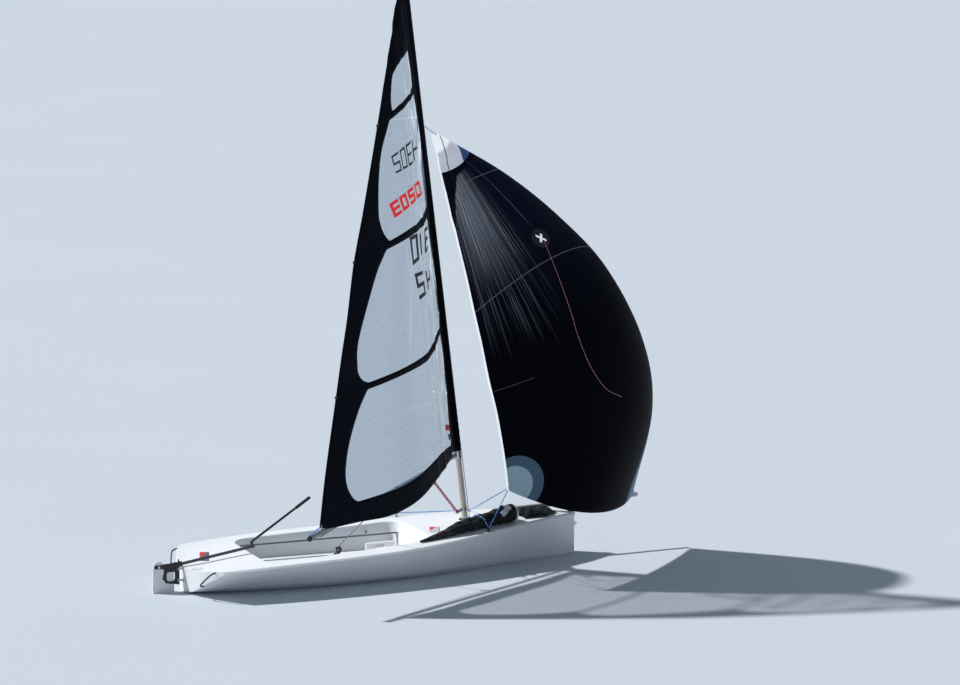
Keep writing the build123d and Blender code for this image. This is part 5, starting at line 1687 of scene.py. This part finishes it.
sock_centres = [Vector(spot) for spot in SOCK_PATH]
sock_spots, sock_flat = [], []
for line in range(SOCK_LINES + 1):
    share = line / SOCK_LINES
    centre, radius = along_path(sock_centres, share), along_path(SOCK_RADII, share)
    ahead = along_path(sock_centres, max(share - 0.01, 0)) - along_path(sock_centres, min(share + 0.01, 1))
    side = ahead.cross(Vector((0, 0, 1))).normalized()
    up = side.cross(ahead).normalized()
    settled = step_up(share, *SOCK_SETTLED)
    wide, high = 1 + SOCK_WIDEN * settled, 1 - SOCK_FLATTEN * settled
    for step in range(SOCK_COLUMNS + 1):
        angle = 2 * math.pi * step / SOCK_COLUMNS
        reach = radius * (1 + sock_folds(share, angle))
        spot = centre + side * (reach * wide * math.cos(angle)) + up * (reach * high * math.sin(angle))
        sock_spots.append(spot)
        sock_flat.append((angle * SOCK_MAP_RADIUS, share * SOCK_LENGTH))
sock_faces = grid_faces(SOCK_LINES, SOCK_COLUMNS)
tail_first = SOCK_LINES * (SOCK_COLUMNS + 1)
sock_faces.append(tuple(range(tail_first, tail_first + SOCK_COLUMNS)))
print("sock", len(sock_faces), "faces")

# %% [markdown]
# The sock's cloth is a dull black mesh that has greyed along its folds. A seam runs along it, and a worn
# white patch is sewn on its side. The patch is a slanted rectangle in the plane of the side, with its edges
# broken by a noise.

# %% Sock finish and its white patch
SOCK_BLACK = (0.0075, 0.0080, 0.0105, 1)
SOCK_GREY = (0.050, 0.052, 0.060, 1)
SOCK_PATCH_AT, SOCK_PATCH_HALF, SOCK_PATCH_SIDE_Y = (1.203, -0.170), (0.060, 0.024), -0.26
SOCK_PATCH_LEAN = (0.83, 0.56)
SOCK_PATCH_WHITE = (0.70, 0.71, 0.74, 1)
SOCK_SEAM_AT, SOCK_SEAM_HALF = 0.094, 0.0035
SOCK_MESH_CYCLES = 420


def sock_finish():
    finish = Finish("sock_cloth", Specular_IOR_Level=0.25)
    around, along = finish.parts(finish.own_map("cut"))[:2]
    place = finish.place()
    mesh_holes = around.wave(SOCK_MESH_CYCLES) * along.wave(SOCK_MESH_CYCLES)
    cloud = finish.noise(place, 14, 4)
    crinkle = finish.noise(place, 60, 4, 0.6)
    seam = near(around, SOCK_SEAM_AT, SOCK_SEAM_HALF)
    x, y, z = finish.parts(place)
    run, rise = SOCK_PATCH_LEAN
    patch = near(x * run + z * rise, SOCK_PATCH_AT[0], SOCK_PATCH_HALF[0])
    patch = patch * near(z * run - x * rise, SOCK_PATCH_AT[1], SOCK_PATCH_HALF[1]) * (y < SOCK_PATCH_SIDE_Y)
    patch = patch * crinkle.smooth(0.30, 0.38)
    finish.bump(mesh_holes * 0.3 + crinkle * 2.2 + seam * 1.2 + patch * 0.8, CLOTH_RELIEF, 0.6)
    base = finish.mixed(cloud.smooth(0.42, 0.72) * 0.7, SOCK_BLACK, SOCK_GREY)
    return finish.show(
        Base_Color=finish.mixed(patch, base, SOCK_PATCH_WHITE),
        Roughness=crinkle * 0.2 + 0.42,
    )


sock_cloth = sock_finish()
sock = sewn_piece("kite_sock", sock_flat, sock_spots, sock_faces)
thickened(sock, SOCK_THICK, -1.0)
finished(sock, sock_cloth, "root", "sock", slot="sock_cloth")
print("sock laid")

# %% [markdown]
# Ahead of the sock a fold of the same dark cloth lies on the foredeck. It is a loose strip, pushed up in
# the middle, whose height is a sum of a few waves and falls to the deck at its edges.

# %% Cloth on the foredeck
FOLD_AFT, FOLD_FORE = Vector((1.290, -0.165, 0.4215)), Vector((1.705, -0.055, 0.4160))
FOLD_WIDE = 0.200
FOLD_HIGH, FOLD_CLEAR, FOLD_THICK = 0.060, 0.0025, 0.0016
FOLD_WAVES = ((0.009, 9, 2, 0), (0.006, 23, -5, 0), (0.004, 6, 31, 0))
FOLD_MAP = (0.43, 0.12)
DECK_FALL = 0.30
FOLD_COLUMNS, FOLD_LINES = 70, 36
fold_run = (FOLD_FORE - FOLD_AFT).normalized()
fold_way = Vector((0, 0, 1)).cross(fold_run).normalized()
fold_spots, fold_flat = [], []
for line in range(FOLD_LINES + 1):
    for step in range(FOLD_COLUMNS + 1):
        s, t = step / FOLD_COLUMNS, 2 * line / FOLD_LINES - 1
        half = FOLD_WIDE / 2 * (0.80 + 0.30 * math.sin(2.6 * s + 0.5) - 0.35 * step_up(s, 0.6, 1.0))
        crown = max(1 - t * t, 0) ** 0.75
        rise = waves(FOLD_WAVES, s, t, FOLD_HIGH)
        rise *= crown * (0.72 + 0.28 * step_up(s, 0.0, 0.2)) * max(1 - step_up(s, 0.62, 1.0), 0.02) ** 0.6
        centre = FOLD_AFT.lerp(FOLD_FORE, s)
        deck_fall = DECK_FALL * (t * half) ** 2
        fold_spots.append(centre + fold_way * (t * half) + Vector((0, 0, rise - deck_fall + FOLD_CLEAR)))
        fold_flat.append((s * FOLD_MAP[0], t * FOLD_MAP[1]))
fold_faces = grid_faces(FOLD_LINES, FOLD_COLUMNS)
deck_cloth = thickened(sewn_piece("foredeck_cloth", fold_flat, fold_spots, fold_faces), FOLD_THICK)
finished(deck_cloth, sock_cloth, "root", slot="sock_cloth")
print("deck cloth", len(deck_cloth.data.polygons), "faces")

# %% [markdown]
# Two flat patches are stuck on the deck, one aft and one ahead of the cockpit. They are left plain, in
# their two colours. Each is a small grid laid down on the hull by casting every point straight down onto
# it.

# %% Plain patches on the deck
PATCH_LIFT, PATCH_THICK = 0.0012, 0.0008
PATCH_STEPS, PATCH_LINES = 8, 12
PATCH_NAVY, PATCH_GREY, PATCH_RED = (0.10, 0.10, 0.16, 1), (0.55, 0.56, 0.60, 1), (0.62, 0.040, 0.035, 1)
# A patch: its name, its ground colour and its corners: high left, high right, low right, low left.
PATCH_ROWS = (
    ("patch_aft", PATCH_NAVY, ((-1.653, 0.343), (-1.580, 0.291), (-1.672, 0.020), (-1.741, 0.082))),
    ("patch_fore", PATCH_GREY, ((0.439, -0.073), (0.515, -0.130), (0.444, -0.302), (0.365, -0.252))),
)


def two_colours(name, ground):
    """Plain red over one corner and the ground colour over the rest."""
    finish = Finish(name)
    s, t = finish.parts(finish.own_map("cut"))[:2]
    scuff = finish.noise(finish.place(), 60, 3)
    finish.bump(scuff, 0.0003, 0.3)
    return finish.show(
        Base_Color=finish.mixed((s + t) < 0.75, ground, PATCH_RED),
        Roughness=scuff * 0.2 + 0.35,
    )


for name, ground, corners in PATCH_ROWS:
    left_high, right_high, right_low, left_low = map(Vector, corners)
    spots, flat = [], []
    for row in range(PATCH_LINES + 1):
        for step in range(PATCH_STEPS + 1):
            s, t = step / PATCH_STEPS, row / PATCH_LINES
            place = left_high.lerp(right_high, s).lerp(left_low.lerp(right_low, s), t)
            spots.append(Vector((place.x, place.y, down_on(hull, place.x, place.y) + PATCH_LIFT)))
            flat.append((s, t))
    patch = thickened(sewn_piece(name, flat, spots, grid_faces(PATCH_LINES, PATCH_STEPS)), PATCH_THICK, 1.0)
    finished(patch, two_colours(f"{name}_colours", ground), "root")
print("patches", [row[0] for row in PATCH_ROWS])

# %% [markdown]
# Screws, pins and the hatch are turned pieces, so each is spun from a short profile of radii and heights,
# as on a lathe. They stand on what they hold: the screws on the red base plate, the pins on the cheeks of
# their blocks.

# %% Screws and pins
SPUN_WELD = 0.00005
SPUN_CREASE = math.radians(40)
UP = Vector((0, 0, 1))
SCREW = (
    (0, 0.0), (0.0052, 0.0), (0.0052, 0.0008), (0.0036, 0.0022), (0.0018, 0.0026), (0.0010, 0.0016),
    (0, 0.0016),
)
SCREW_PLACES = ((0.042, 0.018), (0.042, -0.018), (-0.042, 0.018), (-0.042, -0.018))
SCREW_HEIGHT = 0.1858
PIN = ((0, 0.0), (0.0075, 0.0), (0.0075, 0.003), (0.0045, 0.0045), (0, 0.0045))
RATCHET_CHEEK, BLOCK_CHEEK = 0.0118, 0.0078


def spun(name, profile, spot, axis, material, body, steps=28):
    """A piece turned on a lathe: the profile is radius and height, and the axis points up it."""
    spots = [(radius, 0.0, height) for radius, height in profile]
    mesh = bpy.data.meshes.new(name)
    mesh.from_pydata(spots, [(k, k + 1) for k in range(len(spots) - 1)], [])
    piece = bpy.data.objects.new(name, mesh)
    scene.collection.objects.link(piece)
    select_piece(piece)
    bpy.ops.object.mode_set(mode="EDIT")
    bpy.ops.mesh.select_all(action="SELECT")
    bpy.ops.mesh.spin(steps=steps, angle=2 * math.pi, center=(0, 0, 0), axis=(0, 0, 1))
    bpy.ops.mesh.select_all(action="SELECT")
    bpy.ops.mesh.remove_doubles(threshold=SPUN_WELD)
    bpy.ops.mesh.normals_make_consistent(inside=False)
    bpy.ops.object.mode_set(mode="OBJECT")
    stood(piece, spot, axis)
    bpy.ops.object.shade_smooth_by_angle(angle=SPUN_CREASE)
    return finished(piece, material, body)


for k, (dx, dy) in enumerate(SCREW_PLACES):
    spot = Vector((RATCHET.x + dx, dy, SCREW_HEIGHT))
    spun(f"sheet_base_screw_{k + 1}", SCREW, spot, UP, steel, "root", 16)
# A pin: its name, the middle of its block, the pin's axis, half the block's thickness, body and steps round.
PIN_ROWS = (
    ("ratchet_pin", RATCHET, turn_axis, RATCHET_CHEEK, "root", 20),
    ("boom_block_pin", block_spot, block_axis, BLOCK_CHEEK, "rig", 20),
    ("vang_pin_high", rig_spot(*VANG_HIGH), leeward, BLOCK_CHEEK, "rig", 16),
    ("vang_pin_low", rig_spot(*VANG_LOW), leeward, BLOCK_CHEEK, "rig", 16),
)
for side in (1, -1):
    for name, middle, axis, cheek, body, steps in PIN_ROWS:
        spun(f"{name}_{side + 2}", PIN, middle + axis * (side * cheek), axis * side, steel, body, steps)
print("screws", len(SCREW_PLACES), "pins", 2 * len(PIN_ROWS))

# %% [markdown]
# A small round hatch lets the hull be drained and dried. Its lid is spun as well, and a ring of black
# rubber seals it. The deck slopes there, so its slope is measured by casting down on four sides of the
# place.

# %% Hatch on the aft deck
HATCH = (-1.850, -0.190)
HATCH_R = 0.0470
HATCH_LID = (
    (0, 0.0012), (0.038, 0.0012), (0.0405, 0.0026), (0.0440, 0.0026), (HATCH_R, 0.0004), (HATCH_R, -0.006),
    (0, -0.006),
)
SEAL_R, SEAL_LIFT = 0.0013, 0.0012


def deck_normal(x, y, reach=0.03):
    """The way the hull's top faces, from its heights on four sides."""
    fall_x = down_on(hull, x - reach, y) - down_on(hull, x + reach, y)
    fall_y = down_on(hull, x, y - reach) - down_on(hull, x, y + reach)
    return Vector((fall_x, fall_y, 2 * reach)).normalized()


hatch_spot = Vector((*HATCH, down_on(hull, *HATCH)))
hatch_up = deck_normal(*HATCH)
spun("aft_hatch", HATCH_LID, hatch_spot, hatch_up, foil_white, "root", 40)
seal_spot = hatch_spot + hatch_up * SEAL_LIFT
ring_shape("aft_hatch_seal", seal_spot, hatch_up, HATCH_R, SEAL_R, black_rubber, "root")
print("hatch at", [round(v, 3) for v in hatch_spot])

# %% [markdown]
# The mainsheet runs out of the ratchet block between two jaws that pinch it, on a metal arm. Arm and jaws
# are blocks with rounded edges, set along the rope, so they are placed by the rope's own end.

# %% Cam cleat behind the ratchet block
ARM_SIZE, ARM_ROUND, ARM_UNDER, ARM_FORE = Vector((0.075, 0.022, 0.005)), 0.0018, 0.011, 0.012
JAW_SIZE, JAW_ROUND, JAW_APART = Vector((0.026, 0.010, 0.014)), 0.003, 0.0094
CLEAT_FROM_END = 0.028
cleat_way = (sheet_end - ratchet_turn[-1]).normalized()
cleat_across = Vector((-cleat_way.y, cleat_way.x, 0)).normalized()
cleat_up = cleat_way.cross(cleat_across)
cleat_up = cleat_up if cleat_up.z > 0 else cleat_up * -1
cleat_ways = (cleat_way, cleat_across, cleat_up)
cleat_spot = sheet_end - cleat_way * CLEAT_FROM_END
arm_spot = cleat_spot - cleat_up * ARM_UNDER - cleat_way * ARM_FORE
finished(block_shape("cleat_arm", ARM_SIZE, ARM_ROUND, arm_spot, cleat_ways), steel, "root")
for side in (1, -1):
    jaw_spot = cleat_spot + cleat_across * (side * JAW_APART)
    jaw = block_shape(f"cleat_jaw_{side + 2}", JAW_SIZE, JAW_ROUND, jaw_spot, cleat_ways)
    finished(jaw, black_plastic, "root")
print("cleat at", [round(v, 3) for v in cleat_spot])
